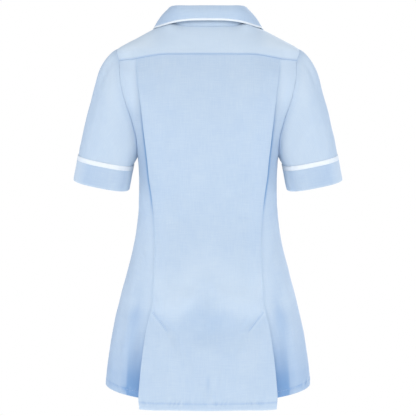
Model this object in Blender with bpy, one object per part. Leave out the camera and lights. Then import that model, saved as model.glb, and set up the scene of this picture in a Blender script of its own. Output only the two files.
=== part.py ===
"""Revere collar tunic with short sleeves, a back yoke and two action pleats.

It keeps the hollow shape that it has when worn. Metres, +Z up. The wearer faces -Y and
the wearer's left side is +X. The origin lies on the centre line, at the level of the
back neck seam, halfway between front and back at the shoulder seams.
"""
from collections import namedtuple

import bmesh
import bpy
import numpy as np

# Cloth and seams: a seam is half of the gap between two pieces that are sewn together
CLOTH = 0.0012
LAYER_GAP = 0.0006
SEAM = 0.00015
SEAM_TURN = np.radians(0.15)
SHARP_ANGLE = np.radians(50)

# Main lengths, measured from the back neck seam
CENTRE_BACK_HEM = -0.760
SIDE_BACK_HEM = -0.740
UNDERLAY_HEM = -0.754
CENTRE_FRONT_HEM = -0.755
UNDERARM_LEVEL = -0.262
SHOULDER_TIP_LEVEL = -0.040
NECK_SIDE_LEVEL = 0.012
NECK_SIDE_ACROSS = 0.079
NECK_CURVE = 2.2
KICK_LEVEL = -0.561

# Horizontal sections of the form that the tunic is filled out on
Section = namedtuple("Section", "level half_width back front square")
SECTIONS = (
    Section(0.018, 0.0640, 0.0400, 0.0340, 2.0),
    Section(0.012, 0.0790, 0.0450, 0.0400, 2.0),
    Section(0.000, 0.1090, 0.0550, 0.0500, 2.0),
    Section(-0.020, 0.1480, 0.0660, 0.0620, 2.0),
    Section(-0.040, 0.1840, 0.0735, 0.0740, 2.1),
    Section(-0.065, 0.1900, 0.0810, 0.0880, 2.2),
    Section(-0.100, 0.1960, 0.0910, 0.1040, 2.4),
    Section(-0.130, 0.1940, 0.0975, 0.1150, 2.4),
    Section(-0.190, 0.1680, 0.1025, 0.1290, 2.4),
    Section(-0.225, 0.1540, 0.1010, 0.1320, 2.4),
    Section(-0.262, 0.1460, 0.0965, 0.1300, 2.4),
    Section(-0.300, 0.1434, 0.0900, 0.1200, 2.4),
    Section(-0.345, 0.1432, 0.0845, 0.1080, 2.4),
    Section(-0.400, 0.1475, 0.0860, 0.1020, 2.4),
    Section(-0.450, 0.1560, 0.0930, 0.1040, 2.4),
    Section(-0.500, 0.1687, 0.1030, 0.1100, 2.4),
    Section(-0.560, 0.1850, 0.1145, 0.1190, 2.3),
    Section(-0.620, 0.1993, 0.1230, 0.1270, 2.3),
    Section(-0.690, 0.2110, 0.1300, 0.1330, 2.3),
    Section(-0.757, 0.2180, 0.1360, 0.1370, 2.3),
)

# Back pleats: how far each fold lies from the centre line
Fold = namedtuple("Fold", "level across")
FOLDS = (
    Fold(-0.062, 0.1447),
    Fold(-0.109, 0.1389),
    Fold(-0.165, 0.1318),
    Fold(-0.266, 0.1222),
    Fold(-0.303, 0.1190),
    Fold(-0.345, 0.1128),
    Fold(-0.390, 0.1086),
    Fold(-0.441, 0.1077),
    Fold(-0.525, 0.1098),
    Fold(-0.561, 0.1127),
    Fold(-0.580, 0.1195),
    Fold(-0.622, 0.1271),
    Fold(-0.668, 0.1333),
    Fold(-0.711, 0.1372),
    Fold(-0.757, 0.1395),
)
PLEAT_RETURN = 0.020
PLEAT_UNDERLAY = 0.021
UNDERLAY_FALL = 2.0
FOLD_RADIUS = 0.0011
FOLD_ANGLES = (-np.pi / 4, 0, np.pi / 4)
PLEAT_STACK = LAYER_GAP + CLOTH + 2 * FOLD_RADIUS

# The folded cloth's height, from inside the fold line (less than 0) out to where it is whole
STACK_FROM = -0.055
STACK_TO = -0.024

# Below the stitched part the centre back stands off and the side backs lie deeper
KICK_LIFT = 0.012
KICK_CENTRE_LIFT = 0.004
KICK_LIFT_FROM = -0.080
KICK_DIP = 0.022
KICK_DIP_FROM = 0.004
KICK_DIP_TO = 0.070

# Over the shoulder blades the upper pleats stand open a little
ACTION_LEVEL = -0.215
ACTION_SPAN = 0.075
ACTION_LIFT = 0.004
ACTION_LIFT_FROM = -0.030
ACTION_DIP = 0.010
ACTION_DIP_TO = 0.022

# Yoke seam across the back
SeamPoint = namedtuple("SeamPoint", "across level")
YOKE_SEAM = (
    SeamPoint(0.000, -0.0539),
    SeamPoint(0.060, -0.0539),
    SeamPoint(0.095, -0.0543),
    SeamPoint(0.120, -0.0580),
    SeamPoint(0.145, -0.0620),
    SeamPoint(0.180, -0.0642),
)

# Armhole: steps from the shoulder tip down to the underarm, and how far it cuts in
ARM_STEPS = 14
YOKE_ARM_STEPS = 3
ARM_TURN_BACK = np.radians(34)
ARM_TURN_FRONT = np.radians(37)

# Rows and columns of each panel's wall
SHOULDER_ROWS = 6
YOKE_COLUMNS = 21
SIDE_ROWS = 24
BREAK_ROW = 11
BACK_ROWS = 30
FACE_COLUMNS = 15
SIDE_COLUMNS = 9
FRONT_COLUMNS = 11

# Fronts: the overlap at the centre, and the distance over which the upper one settles
OVERLAP = 0.018
OVERLAP_LIFT = CLOTH + 0.0009
OVERLAP_FLAT = 0.005
OVERLAP_SETTLED = 0.035

# Lapels: shares of the roll line at their top and end, and the outer edge from tip to foot
LAPEL_TIP_ACROSS = 0.102
LAPEL_TIP_LEVEL = -0.092
LAPEL_TOP = 0.335
LAPEL_END_RIGHT = 0.97
LAPEL_END_LEFT = 0.80
LAPEL_FROM_ROLL = 0.0015
LAPEL_FOOT_WIDTH = 0.004
LAPEL_EDGE_BOW = 0.012
LAPEL_FULLNESS = 0.0030
LAPEL_FULL_WIDTH = 0.7
LAPEL_ROWS = 12
LAPEL_COLUMNS = 5

# Collar, from the centre back (0) past the shoulder seam (0.6) to its front end (1)
CollarPoint = namedtuple("CollarPoint", "along roll_x roll_y roll_z edge_x edge_y edge_z")
COLLAR = (
    CollarPoint(0.0, 0.0000, 0.0550, 0.0410, 0.0000, 0.0630, 0.0158),
    CollarPoint(0.2, 0.0370, 0.0515, 0.0412, 0.0415, 0.0590, 0.0151),
    CollarPoint(0.4, 0.0640, 0.0370, 0.0430, 0.0765, 0.0410, 0.0110),
    CollarPoint(0.5, 0.0725, 0.0230, 0.0438, 0.0970, 0.0215, 0.0068),
    CollarPoint(0.6, 0.0775, -0.0020, 0.0402, 0.1100, 0.0010, 0.0038),
    CollarPoint(0.7, 0.0745, -0.0400, 0.0195, 0.1140, -0.0300, -0.0065),
    CollarPoint(0.8, 0.0676, -0.0685, -0.0104, 0.1130, -0.0475, -0.0230),
    CollarPoint(0.9, 0.0585, -0.0765, -0.0308, 0.1085, -0.0650, -0.0410),
    CollarPoint(1.0, 0.0502, -0.0830, -0.0506, 0.1020, -0.0780, -0.0590),
)
COLLAR_SHOULDER = 0.6
COLLAR_FRONT_END = 0.30
COLLAR_CLOTH = 0.0015
COLLAR_ROLL = 0.0016
COLLAR_BULGE = 0.0028
COLLAR_BULGE_UP = 0.5
COLLAR_COLUMNS = 15
STAND_SHARES = (0, 0.5, 1)
ROLL_ANGLES = np.radians((45, 90, 135))
FALL_SHARES = (0.12, 0.34, 0.67, 1)
PIPING_START_ROW = len(STAND_SHARES) + len(ROLL_ANGLES) - 1

# White edging: a flat oval strip, and how far above its panel's middle it lies on a lapel
PIPING_WIDTH = 0.0042
PIPING_THICK = 0.0022
PIPING_FLAT_SHARE = 0.55
PIPING_REACH = PIPING_WIDTH / 2 + 2 * SEAM
PIPING_LIFT = LAYER_GAP + CLOTH / 2 + 0.0004

# Sleeves: the hem ellipse and the axis that it is square to, for the wearer's left
SLEEVE_HEM = np.array((0.2222, -0.008, -0.3190))
SLEEVE_AXIS = np.array((0.200, -0.065, -0.978))
SLEEVE_HALF_ACROSS = 0.0573
SLEEVE_HALF_DEEP = 0.0620
SLEEVE_ROWS = 8

# Sleeve's direction at the armhole: down from level at its head and underarm, and to the side
SLEEVE_HEAD_PITCH = np.radians(28)
SLEEVE_UNDER_PITCH = np.radians(74)
SLEEVE_SIDEWAYS = 0.18
SLEEVE_GAP_TILT = np.radians(81)
SLEEVE_HEAD_PULL = 0.22
SLEEVE_HEM_PULL = 0.52
ARM_GAP = 0.0004

# Cuffs and the tape above them
CUFF_DEPTH = 0.043
CUFF_PROUD = 0.0013
TAPE_WIDTH = 0.009
TAPE_GAP = 0.0003

# Buttons on the wearer's right front, with the outline of one as shares of its size
BUTTON_COUNT = 5
BUTTON_FIRST_LEVEL = -0.218
BUTTON_SPACING = 0.090
BUTTON_RADIUS = 0.009
BUTTON_THICK = 0.003
BUTTON_GAP = 0.0006
BUTTON_SIDES = 12
Turned = namedtuple("Turned", "radius height")
BUTTON_PROFILE = (
    Turned(0.00, 0.00),
    Turned(0.80, 0.00),
    Turned(1.00, 0.35),
    Turned(1.00, 0.75),
    Turned(0.90, 1.00),
    Turned(0.72, 0.86),
    Turned(0.60, 0.55),
    Turned(0.00, 0.55),
)


def smooth(table, column, at, key="level"):
    """Value of one column of a table at the given key, on a smooth curve through its rows."""
    rows = sorted(table, key=lambda row: getattr(row, key))
    knots = np.array([getattr(row, key) for row in rows])
    values = np.array([getattr(row, column) for row in rows])
    slopes = np.gradient(values, knots)
    at = np.clip(at, knots[0], knots[-1])
    i = np.clip(np.searchsorted(knots, at) - 1, 0, len(knots) - 2)
    span = knots[i + 1] - knots[i]
    t = (at - knots[i]) / span
    return (values[i] * (1 + 2 * t) * (1 - t) ** 2 + values[i + 1] * t * t * (3 - 2 * t)
            + span * slopes[i] * t * (1 - t) ** 2 + span * slopes[i + 1] * t * t * (t - 1))


def ease(value, start, end):
    """Soft step from 0 at start to 1 at end."""
    t = np.clip((value - start) / (end - start), 0, 1)
    return t * t * (3 - 2 * t)


def swell(value, centre, span):
    """Soft hump of height 1 that fades out a span away from its centre."""
    return np.exp(-((value - centre) / span) ** 2)


def unit(vectors):
    """The same directions at length 1."""
    return vectors / np.linalg.norm(vectors, axis=-1, keepdims=True)


def fullness(x, y, z):
    """1 on the form's surface, less inside it and more outside it."""
    square = smooth(SECTIONS, "square", z)
    half = smooth(SECTIONS, "half_width", z)
    depth = np.where(y >= 0, smooth(SECTIONS, "back", z), smooth(SECTIONS, "front", z))
    return (np.abs(x) / half) ** square + (np.abs(y) / depth) ** square


def outward(points):
    """Direction straight out of the form at each point."""
    x, y, z = points[..., 0], points[..., 1], points[..., 2]
    step = 0.0002
    slope = np.stack((
        fullness(x + step, y, z) - fullness(x - step, y, z),
        fullness(x, y + step, z) - fullness(x, y - step, z),
        fullness(x, y, z + step) - fullness(x, y, z - step)), axis=-1)
    return unit(slope)


def form(turn, level, lift=0.0):
    """Point of the form at an angle from the centre back and a level, moved out by lift."""
    turn, level = np.broadcast_arrays(turn, level)
    square = smooth(SECTIONS, "square", level)
    side, ahead = np.sin(turn), np.cos(turn)
    reach = (np.abs(side) ** square + np.abs(ahead) ** square) ** (-1 / square)
    depth = np.where(ahead >= 0, smooth(SECTIONS, "back", level), smooth(SECTIONS, "front", level))
    points = np.stack((smooth(SECTIONS, "half_width", level) * reach * side,
                       depth * reach * ahead, level), axis=-1)
    return points + outward(points) * np.asarray(lift)[..., None]


def turn_at(across, level):
    """Angle from the centre line at which the form is this far across."""
    square = smooth(SECTIONS, "square", level)
    share = np.clip(np.abs(across) / smooth(SECTIONS, "half_width", level), 0, 1)
    ahead = (1 - share ** square) ** (1 / square)
    return np.arctan2(share, ahead) * np.sign(across)


def front_hem(turn):
    """Level of the front hem, lowest at the centre front."""
    return SIDE_BACK_HEM + (CENTRE_FRONT_HEM - SIDE_BACK_HEM) * np.cos(turn) ** 2


def armhole(step, turn_depth):
    """Angle from the centre and level of the armhole, from the shoulder tip to the underarm."""
    middle = (SHOULDER_TIP_LEVEL + UNDERARM_LEVEL) / 2
    half = (SHOULDER_TIP_LEVEL - UNDERARM_LEVEL) / 2
    swing = np.pi * np.asarray(step) / ARM_STEPS
    return np.pi / 2 - turn_depth * np.sin(swing), middle + half * np.cos(swing)


def kick_open(level):
    """How far the lower pleats have opened, 0 at their top and 1 at the hem."""
    return ease(-level, -KICK_LEVEL, -CENTRE_BACK_HEM)


def make_material(name, colour, roughness):
    """Plain finish of one kind of cloth or plastic."""
    material = bpy.data.materials.new(name)
    material.use_nodes = True
    shader = material.node_tree.nodes["Principled BSDF"]
    shader.inputs["Base Color"].default_value = (*colour, 1)
    shader.inputs["Roughness"].default_value = roughness
    shader.inputs["Metallic"].default_value = 0
    material.diffuse_color = (*colour, 1)
    return material


def add_object(name, bm, material):
    """Object from a finished bmesh, with its faces turned out."""
    bmesh.ops.recalc_face_normals(bm, faces=bm.faces)
    mesh = bpy.data.meshes.new(name)
    bm.to_mesh(mesh)
    bm.free()
    mesh.materials.append(material)
    mesh.shade_smooth()
    mesh.set_sharp_from_angle(angle=SHARP_ANGLE)
    obj = bpy.data.objects.new(name, mesh)
    bpy.context.scene.collection.objects.link(obj)
    return obj


def cloth_wall(name, material, outer, inner, tube=False):
    """Closed wall between an outer and an inner grid of points, joined up all round if a tube."""
    bm = bmesh.new()
    rows, columns = outer.shape[:2]
    layers = [[[bm.verts.new(point) for point in row] for row in grid] for grid in (outer, inner)]
    last = columns if tube else columns - 1
    for grid in layers:
        for r in range(rows - 1):
            for c in range(last):
                n = (c + 1) % columns
                bm.faces.new((grid[r][c], grid[r][n], grid[r + 1][n], grid[r + 1][c]))
    top, under = layers
    for r in (0, rows - 1):
        for c in range(last):
            n = (c + 1) % columns
            bm.faces.new((top[r][c], top[r][n], under[r][n], under[r][c]))
    if not tube:
        for c in (0, columns - 1):
            for r in range(rows - 1):
                bm.faces.new((top[r][c], top[r + 1][c], under[r + 1][c], under[r][c]))
    return add_object(name, bm, material)


def neckline(share):
    """Angle and level of the back neck seam, from the centre back (0) to the shoulder seam (1)."""
    level = NECK_SIDE_LEVEL * np.abs(share) ** NECK_CURVE
    across = NECK_SIDE_ACROSS * np.sin(share * np.pi / 2)
    return turn_at(across, level), level


def yoke(material):
    """Back yoke between the neck seam, the shoulder seams, the armholes and the yoke seam."""
    side_level = list(np.linspace(NECK_SIDE_LEVEL, SHOULDER_TIP_LEVEL, SHOULDER_ROWS + 1))
    side_turn = [np.pi / 2] * len(side_level)
    for step in range(1, YOKE_ARM_STEPS + 1):
        turn, level = armhole(step, ARM_TURN_BACK)
        side_turn.append(float(turn))
        side_level.append(float(level))
    side_level = np.array(side_level)
    side_turn = np.minimum(side_turn, np.pi / 2 - SEAM_TURN)
    down = ((NECK_SIDE_LEVEL - side_level) / (NECK_SIDE_LEVEL - side_level[-1]))[:, None]
    across = np.linspace(-1, 1, YOKE_COLUMNS)
    neck_turn, neck_level = neckline(across)
    turn = side_turn[:, None] * (neck_turn / (np.pi / 2) * (1 - down) + across * down)
    bottom_across = form(turn[-1], np.full(across.shape, side_level[-1]))[:, 0]
    seam = smooth(YOKE_SEAM, "level", np.abs(bottom_across), "across") + SEAM
    level = neck_level + (seam - neck_level) * down
    return cloth_wall("yoke", material, form(turn, level), form(turn, level, -CLOTH))


def side_dip(across, level):
    """How far a side back panel lies below the form beside its pleat."""
    beyond = np.abs(across) - smooth(FOLDS, "across", level)
    kick = KICK_DIP * kick_open(level) * (1 - ease(beyond, KICK_DIP_FROM, KICK_DIP_TO))
    action = ACTION_DIP * swell(level, ACTION_LEVEL, ACTION_SPAN) * (1 - ease(beyond, 0, ACTION_DIP_TO))
    return kick + action


def centre_lift(across, level):
    """How far the centre back panel's face lies above the form."""
    beyond = np.abs(across) - smooth(FOLDS, "across", level)
    stack = PLEAT_STACK * ease(beyond, STACK_FROM, STACK_TO)
    rise = KICK_CENTRE_LIFT + (KICK_LIFT - KICK_CENTRE_LIFT) * ease(beyond, KICK_LIFT_FROM, 0)
    action = ACTION_LIFT * swell(level, ACTION_LEVEL, ACTION_SPAN) * ease(beyond, ACTION_LIFT_FROM, 0)
    return stack + rise * kick_open(level) + action


def pleat_section(level):
    """Middle line of the centre back panel at a level: across and height above the form."""
    fold = smooth(FOLDS, "across", level) - FOLD_RADIUS - CLOTH / 2
    flat = np.linspace(-1, 1, FACE_COLUMNS) * fold
    face = np.column_stack((flat, centre_lift(flat, level) - CLOTH / 2))
    centre = centre_lift(fold, level) - CLOTH / 2 - FOLD_RADIUS
    bend = [(fold + FOLD_RADIUS * np.cos(a), centre + FOLD_RADIUS * np.sin(a)) for a in FOLD_ANGLES]
    root = fold - PLEAT_RETURN
    root_lift = LAYER_GAP + CLOTH / 2 - side_dip(root, level)
    rise = centre - FOLD_RADIUS - root_lift
    under = [(root + PLEAT_RETURN * share, root_lift + rise * share) for share in (0, 0.5, 1)]
    side = np.array(under + bend)
    return np.vstack((side * (-1, 1), face, side[::-1]))


def back_centre(material):
    """Centre back panel: its face, a rolled fold on each side and the cloth that returns under it."""
    seam_level = smooth(YOKE_SEAM, "level", FOLDS[0].across, "across")
    outer, inner = [], []
    for share in np.linspace(0, 1, BACK_ROWS + 1):
        level = seam_level + (CENTRE_BACK_HEM - seam_level) * share
        path = pleat_section(level)
        run = np.gradient(path, axis=0)
        normal = unit(np.column_stack((-run[:, 1], run[:, 0])))
        for grid, offset in ((outer, CLOTH / 2), (inner, -CLOTH / 2)):
            across, lift = (path + normal * offset).T
            top = smooth(YOKE_SEAM, "level", np.abs(across), "across") - SEAM
            row_level = top + (CENTRE_BACK_HEM - top) * share
            grid.append(form(turn_at(across, row_level), row_level, lift))
    return cloth_wall("back_centre", material, np.array(outer), np.array(inner))


def side_levels(hem):
    """Levels from the underarm down to a hem, one for each row."""
    return UNDERARM_LEVEL + (hem - UNDERARM_LEVEL) * np.arange(1, SIDE_ROWS + 1) / SIDE_ROWS


def side_back(side, name, material):
    """Side back panel from under the pleat out to the armhole and the side seam."""
    steps = np.arange(YOKE_ARM_STEPS, ARM_STEPS + 1)
    arm_turn, arm_level = armhole(steps, ARM_TURN_BACK)
    out_turn = np.concatenate((arm_turn, np.full(SIDE_ROWS, np.pi / 2)))
    out_turn = np.minimum(out_turn, np.pi / 2 - SEAM_TURN)
    out_level = np.concatenate((arm_level, side_levels(SIDE_BACK_HEM)))
    top = smooth(YOKE_SEAM, "level", FOLDS[0].across, "across")
    in_level = np.linspace(top, UNDERLAY_HEM, len(out_level))
    in_turn = turn_at(smooth(FOLDS, "across", in_level) - PLEAT_UNDERLAY, in_level)
    share = np.linspace(0, 1, SIDE_COLUMNS)
    turn = in_turn[:, None] + (out_turn - in_turn)[:, None] * share
    level = out_level[:, None] + (in_level - out_level)[:, None] * (1 - share) ** UNDERLAY_FALL
    level[0] = smooth(YOKE_SEAM, "level", form(turn[0], level[0])[:, 0], "across") - SEAM
    lift = -side_dip(form(turn, level)[..., 0], level)
    grids = [form(turn, level, lift + offset) * (side, 1, 1) for offset in (0, -CLOTH)]
    return cloth_wall(name, material, *grids)


def front_edges():
    """Inner and outer edges of a front, as angles from the centre back and levels, row by row."""
    steps = np.arange(ARM_STEPS + 1)
    arm_turn, arm_level = armhole(steps, ARM_TURN_FRONT)
    out_turn = np.concatenate((np.pi - arm_turn, np.full(SIDE_ROWS, np.pi / 2)))
    out_turn = np.maximum(out_turn, np.pi / 2 + SEAM_TURN)
    out_level = np.concatenate((arm_level, side_levels(SIDE_BACK_HEM)))
    in_level = np.concatenate((
        np.linspace(NECK_SIDE_LEVEL, UNDERARM_LEVEL, ARM_STEPS + 1), side_levels(CENTRE_FRONT_HEM)))
    row = np.arange(len(in_level))
    in_across = NECK_SIDE_ACROSS - (NECK_SIDE_ACROSS + OVERLAP) * np.minimum(row / BREAK_ROW, 1)
    in_turn = np.pi - turn_at(in_across, in_level)
    in_turn[0] = np.pi / 2 + SEAM_TURN
    return in_turn, in_level, out_turn, out_level


def front_lift(side, across):
    """How far a front lies above the form: the wearer's right one crosses over the left one."""
    if side > 0:
        return np.zeros_like(across)
    return OVERLAP_LIFT * (1 - ease(across - OVERLAP, OVERLAP_FLAT, OVERLAP_SETTLED))


def front(side, name, material):
    """One front, from its roll line and front edge out to the shoulder, armhole and side seam."""
    in_turn, in_level, out_turn, out_level = front_edges()
    share = np.linspace(0, 1, FRONT_COLUMNS)
    turn = in_turn[:, None] + (out_turn - in_turn)[:, None] * share
    level = in_level[:, None] + (out_level - in_level)[:, None] * share
    level[-1] = front_hem(turn[-1])
    lift = front_lift(side, form(turn, level)[..., 0])
    grids = [form(turn, level, lift + offset) * (side, 1, 1) for offset in (0, -CLOTH)]
    return cloth_wall(name, material, *grids)


def roll_line(share):
    """Across and level of the line where a front turns back, from the neck (0) to its end (1)."""
    end_level = NECK_SIDE_LEVEL + (UNDERARM_LEVEL - NECK_SIDE_LEVEL) * BREAK_ROW / ARM_STEPS
    across = NECK_SIDE_ACROSS - (NECK_SIDE_ACROSS + OVERLAP) * share
    return across, NECK_SIDE_LEVEL + (end_level - NECK_SIDE_LEVEL) * share


def lapel_grid(side):
    """Across and level of a lapel's points, from its roll line to its outer edge."""
    end = LAPEL_END_LEFT if side > 0 else LAPEL_END_RIGHT
    down = np.linspace(0, 1, LAPEL_ROWS + 1)
    roll_across, roll_level = roll_line(LAPEL_TOP + (end - LAPEL_TOP) * down)
    roll_across = roll_across + LAPEL_FROM_ROLL
    foot_across = roll_across[-1] + LAPEL_FOOT_WIDTH
    edge_across = LAPEL_TIP_ACROSS + (foot_across - LAPEL_TIP_ACROSS) * down
    edge_across = edge_across + LAPEL_EDGE_BOW * np.sin(np.pi * down)
    edge_level = LAPEL_TIP_LEVEL + (roll_level[-1] - LAPEL_TIP_LEVEL) * down
    share = np.linspace(0, 1, LAPEL_COLUMNS + 1)
    across = roll_across[:, None] + (edge_across - roll_across)[:, None] * share
    level = roll_level[:, None] + (edge_level - roll_level)[:, None] * share
    return across, level, share


def on_front(side, across, level, lift):
    """Point on a front at a distance across and a level, moved out by lift."""
    turn = np.pi - turn_at(across, level)
    return form(turn, level, front_lift(side, across) + lift) * (side, 1, 1)


def lapel(side, name, material):
    """Lapel: the front's edge folded back, lying on the front and a little full at its fold."""
    across, level, share = lapel_grid(side)
    lift = LAYER_GAP + CLOTH + LAPEL_FULLNESS * np.sin(np.pi * np.minimum(share / LAPEL_FULL_WIDTH, 1))
    grids = [on_front(side, across, level, lift + offset) for offset in (0, -CLOTH)]
    return cloth_wall(name, material, *grids)


def edging(name, material, path, aside, up):
    """Narrow rounded strip of cloth swept along a path of points."""
    aside, up = unit(aside), unit(up)
    half, thick, flat = PIPING_WIDTH / 2, PIPING_THICK / 2, PIPING_FLAT_SHARE
    ring = ((1, 0), (flat, 1), (-flat, 1), (-1, 0), (-flat, -1), (flat, -1))
    bm = bmesh.new()
    sections = [[bm.verts.new(point + a * half * u + b * thick * v) for u, v in ring]
                for point, a, b in zip(path, aside, up)]
    count = len(ring)
    for near, far in zip(sections, sections[1:]):
        for i in range(count):
            n = (i + 1) % count
            bm.faces.new((near[i], near[n], far[n], far[i]))
    bm.faces.new(sections[0])
    bm.faces.new(sections[-1])
    return add_object(name, bm, material)


def lapel_piping(side, name, material):
    """White edging round a lapel's top and outer edges."""
    across, level, _ = lapel_grid(side)
    top = np.stack((across[0], level[0]), axis=-1)
    outer = np.stack((across[1:, -1], level[1:, -1]), axis=-1)
    line = np.vstack((top, outer))
    run = np.gradient(line, axis=0)
    away = unit(np.column_stack((-run[:, 1], run[:, 0])))
    near, far = line + away * PIPING_REACH, line + away * 2 * PIPING_REACH
    points = on_front(side, near[:, 0], near[:, 1], PIPING_LIFT)
    aside = on_front(side, far[:, 0], far[:, 1], PIPING_LIFT) - points
    return edging(name, material, points, aside, outward(points))


def neck_seam(along):
    """Points of the neck seam: along the yoke's top edge, then down the front's roll line."""
    share = np.abs(along) / COLLAR_SHOULDER
    back_turn, back_level = neckline(np.minimum(share, 1))
    ahead = np.maximum(np.abs(along) - COLLAR_SHOULDER, 0) / (1 - COLLAR_SHOULDER)
    across, front_level = roll_line(ahead * COLLAR_FRONT_END)
    front_turn = np.pi - turn_at(across, front_level)
    at_back = (share <= 1)[:, None]
    points = np.where(at_back, form(back_turn, back_level), form(front_turn, front_level))
    points[:, 0] *= np.sign(along)
    return points


def collar_curve(kind, along):
    """Points of the collar's roll or edge line, mirrored where along is negative."""
    reach = np.abs(along)
    points = np.stack([smooth(COLLAR, f"{kind}_{axis}", reach, "along") for axis in "xyz"], axis=-1)
    points[:, 0] *= np.sign(along)
    return points


def collar_middle():
    """Middle surface of the collar: up the stand, over the roll and down the fall."""
    along = np.linspace(-1, 1, 2 * COLLAR_COLUMNS + 1)
    seam = neck_seam(along)
    into = unit(np.cross(np.gradient(seam, axis=0), outward(seam)))
    neck = seam - outward(seam) * CLOTH / 2 + into * (COLLAR_CLOTH / 2 + 2 * SEAM)
    roll, edge = (collar_curve(kind, along) for kind in ("roll", "edge"))
    rise = unit(roll - neck)
    away = edge - roll
    away = unit(away - rise * np.sum(away * rise, axis=-1, keepdims=True))
    top = roll - rise * COLLAR_ROLL
    rows = [neck + (top - neck) * share for share in STAND_SHARES]
    for angle in ROLL_ANGLES:
        rows.append(top + away * COLLAR_ROLL * (1 - np.cos(angle)) + rise * COLLAR_ROLL * np.sin(angle))
    start = top + away * 2 * COLLAR_ROLL
    for share in FALL_SHARES:
        bulge = COLLAR_BULGE * np.sin(np.pi * share)
        rows.append(start + (edge - start) * share + (rise * COLLAR_BULGE_UP + away) * bulge)
    return np.array(rows)


def collar_directions(middle):
    """Directions along the collar, down it and out of it at each point of its middle surface."""
    onward, down = np.gradient(middle, axis=1), np.gradient(middle, axis=0)
    return unit(onward), unit(down), unit(np.cross(onward, down))


def collar(material):
    """Collar in one wall: the stand on the neck seam, turned over into the fall."""
    middle = collar_middle()
    half = collar_directions(middle)[2] * COLLAR_CLOTH / 2
    return cloth_wall("collar", material, middle + half, middle - half)


def collar_piping(material):
    """White edging along the collar's lower edge and up both of its front ends."""
    middle = collar_middle()
    onward, down, normal = collar_directions(middle)
    fall = slice(PIPING_START_ROW, -1)
    bottom_away = down[-1].copy()
    bottom_away[0] -= onward[-1, 0]
    bottom_away[-1] += onward[-1, -1]
    line = np.vstack((middle[fall, 0], middle[-1], middle[fall, -1][::-1]))
    aside = np.vstack((-onward[fall, 0], bottom_away, onward[fall, -1][::-1]))
    up = np.vstack((normal[fall, 0], normal[-1], normal[fall, -1][::-1]))
    return edging("collar_piping", material, line + aside * PIPING_REACH, aside, up)


def sleeve_ring(up, proud=0.0):
    """Ring of points square to the sleeve's axis, a distance up from its hem, moved out by proud."""
    axis = unit(SLEEVE_AXIS)
    across = unit(np.array((1.0, 0, 0)) - axis * axis[0])
    deep = np.cross(across, axis)
    deep = deep * np.sign(deep[1])
    angle = 2 * np.pi * np.arange(2 * ARM_STEPS) / (2 * ARM_STEPS)
    centre = SLEEVE_HEM - axis * up
    wide, far = SLEEVE_HALF_ACROSS + proud, SLEEVE_HALF_DEEP + proud
    return centre + np.outer(np.cos(angle), across) * wide + np.outer(np.sin(angle), deep) * far


def sleeve_seam():
    """Armhole points all round with the sleeve's first direction there."""
    step = np.arange(2 * ARM_STEPS)
    down = np.where(step <= ARM_STEPS, step, 2 * ARM_STEPS - step)
    back_turn, level = armhole(down, ARM_TURN_BACK)
    front_turn, _ = armhole(down, ARM_TURN_FRONT)
    turn = np.where(step <= ARM_STEPS, back_turn, np.pi - front_turn)
    points = form(turn, level)
    share = down / ARM_STEPS
    pitch = SLEEVE_HEAD_PITCH + (SLEEVE_UNDER_PITCH - SLEEVE_HEAD_PITCH) * share ** 2
    sideways = SLEEVE_SIDEWAYS * np.sin(np.pi * share) * np.where(step <= ARM_STEPS, 1, -1)
    ahead = unit(np.stack((np.cos(pitch), sideways, -np.sin(pitch)), axis=-1))
    return points, ahead, share


def sleeve_grid():
    """Outer surface of a sleeve, from the armhole seam down to the cuff's top."""
    points, ahead, share = sleeve_seam()
    tilt = SLEEVE_GAP_TILT * share[:, None]
    start = points + (ahead * np.cos(tilt) + outward(points) * np.sin(tilt)) * ARM_GAP
    end = sleeve_ring(CUFF_DEPTH + TAPE_WIDTH)
    length = np.linalg.norm(end - start, axis=-1, keepdims=True)
    first = start + ahead * length * SLEEVE_HEAD_PULL
    second = end - unit(SLEEVE_AXIS) * length * SLEEVE_HEM_PULL
    rows = []
    for t in np.linspace(0, 1, SLEEVE_ROWS + 1):
        rows.append(start * (1 - t) ** 3 + 3 * first * t * (1 - t) ** 2
                    + 3 * second * t * t * (1 - t) + end * t ** 3)
    rows.append(sleeve_ring(CUFF_DEPTH + SEAM))
    return np.array(rows)


def tube_wall(grid, depth):
    """The grid of a tube moved in by a depth along its own directions."""
    around = np.roll(grid, -1, axis=1) - np.roll(grid, 1, axis=1)
    down = np.gradient(grid, axis=0)
    return grid - unit(np.cross(down, around)) * depth


def sleeve(side, name, material):
    """Short set-in sleeve."""
    outer = sleeve_grid()
    grids = [grid * (side, 1, 1) for grid in (outer, tube_wall(outer, CLOTH))]
    return cloth_wall(name, material, *grids, tube=True)


def band(side, name, material, high, low, under, over):
    """Band of cloth round a sleeve between two heights, from one distance out to another."""
    grids = [np.array([sleeve_ring(high, proud), sleeve_ring(low, proud)]) * (side, 1, 1)
             for proud in (over, under)]
    return cloth_wall(name, material, *grids, tube=True)


def cuff(side, name, material):
    """Turn-up cuff at a sleeve's hem."""
    return band(side, name, material, CUFF_DEPTH - SEAM, 0, -CLOTH, CUFF_PROUD)


def tape(side, name, material):
    """White tape on a sleeve, just above its cuff."""
    return band(side, name, material, CUFF_DEPTH + TAPE_WIDTH, CUFF_DEPTH + SEAM, TAPE_GAP, CUFF_PROUD)


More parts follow.
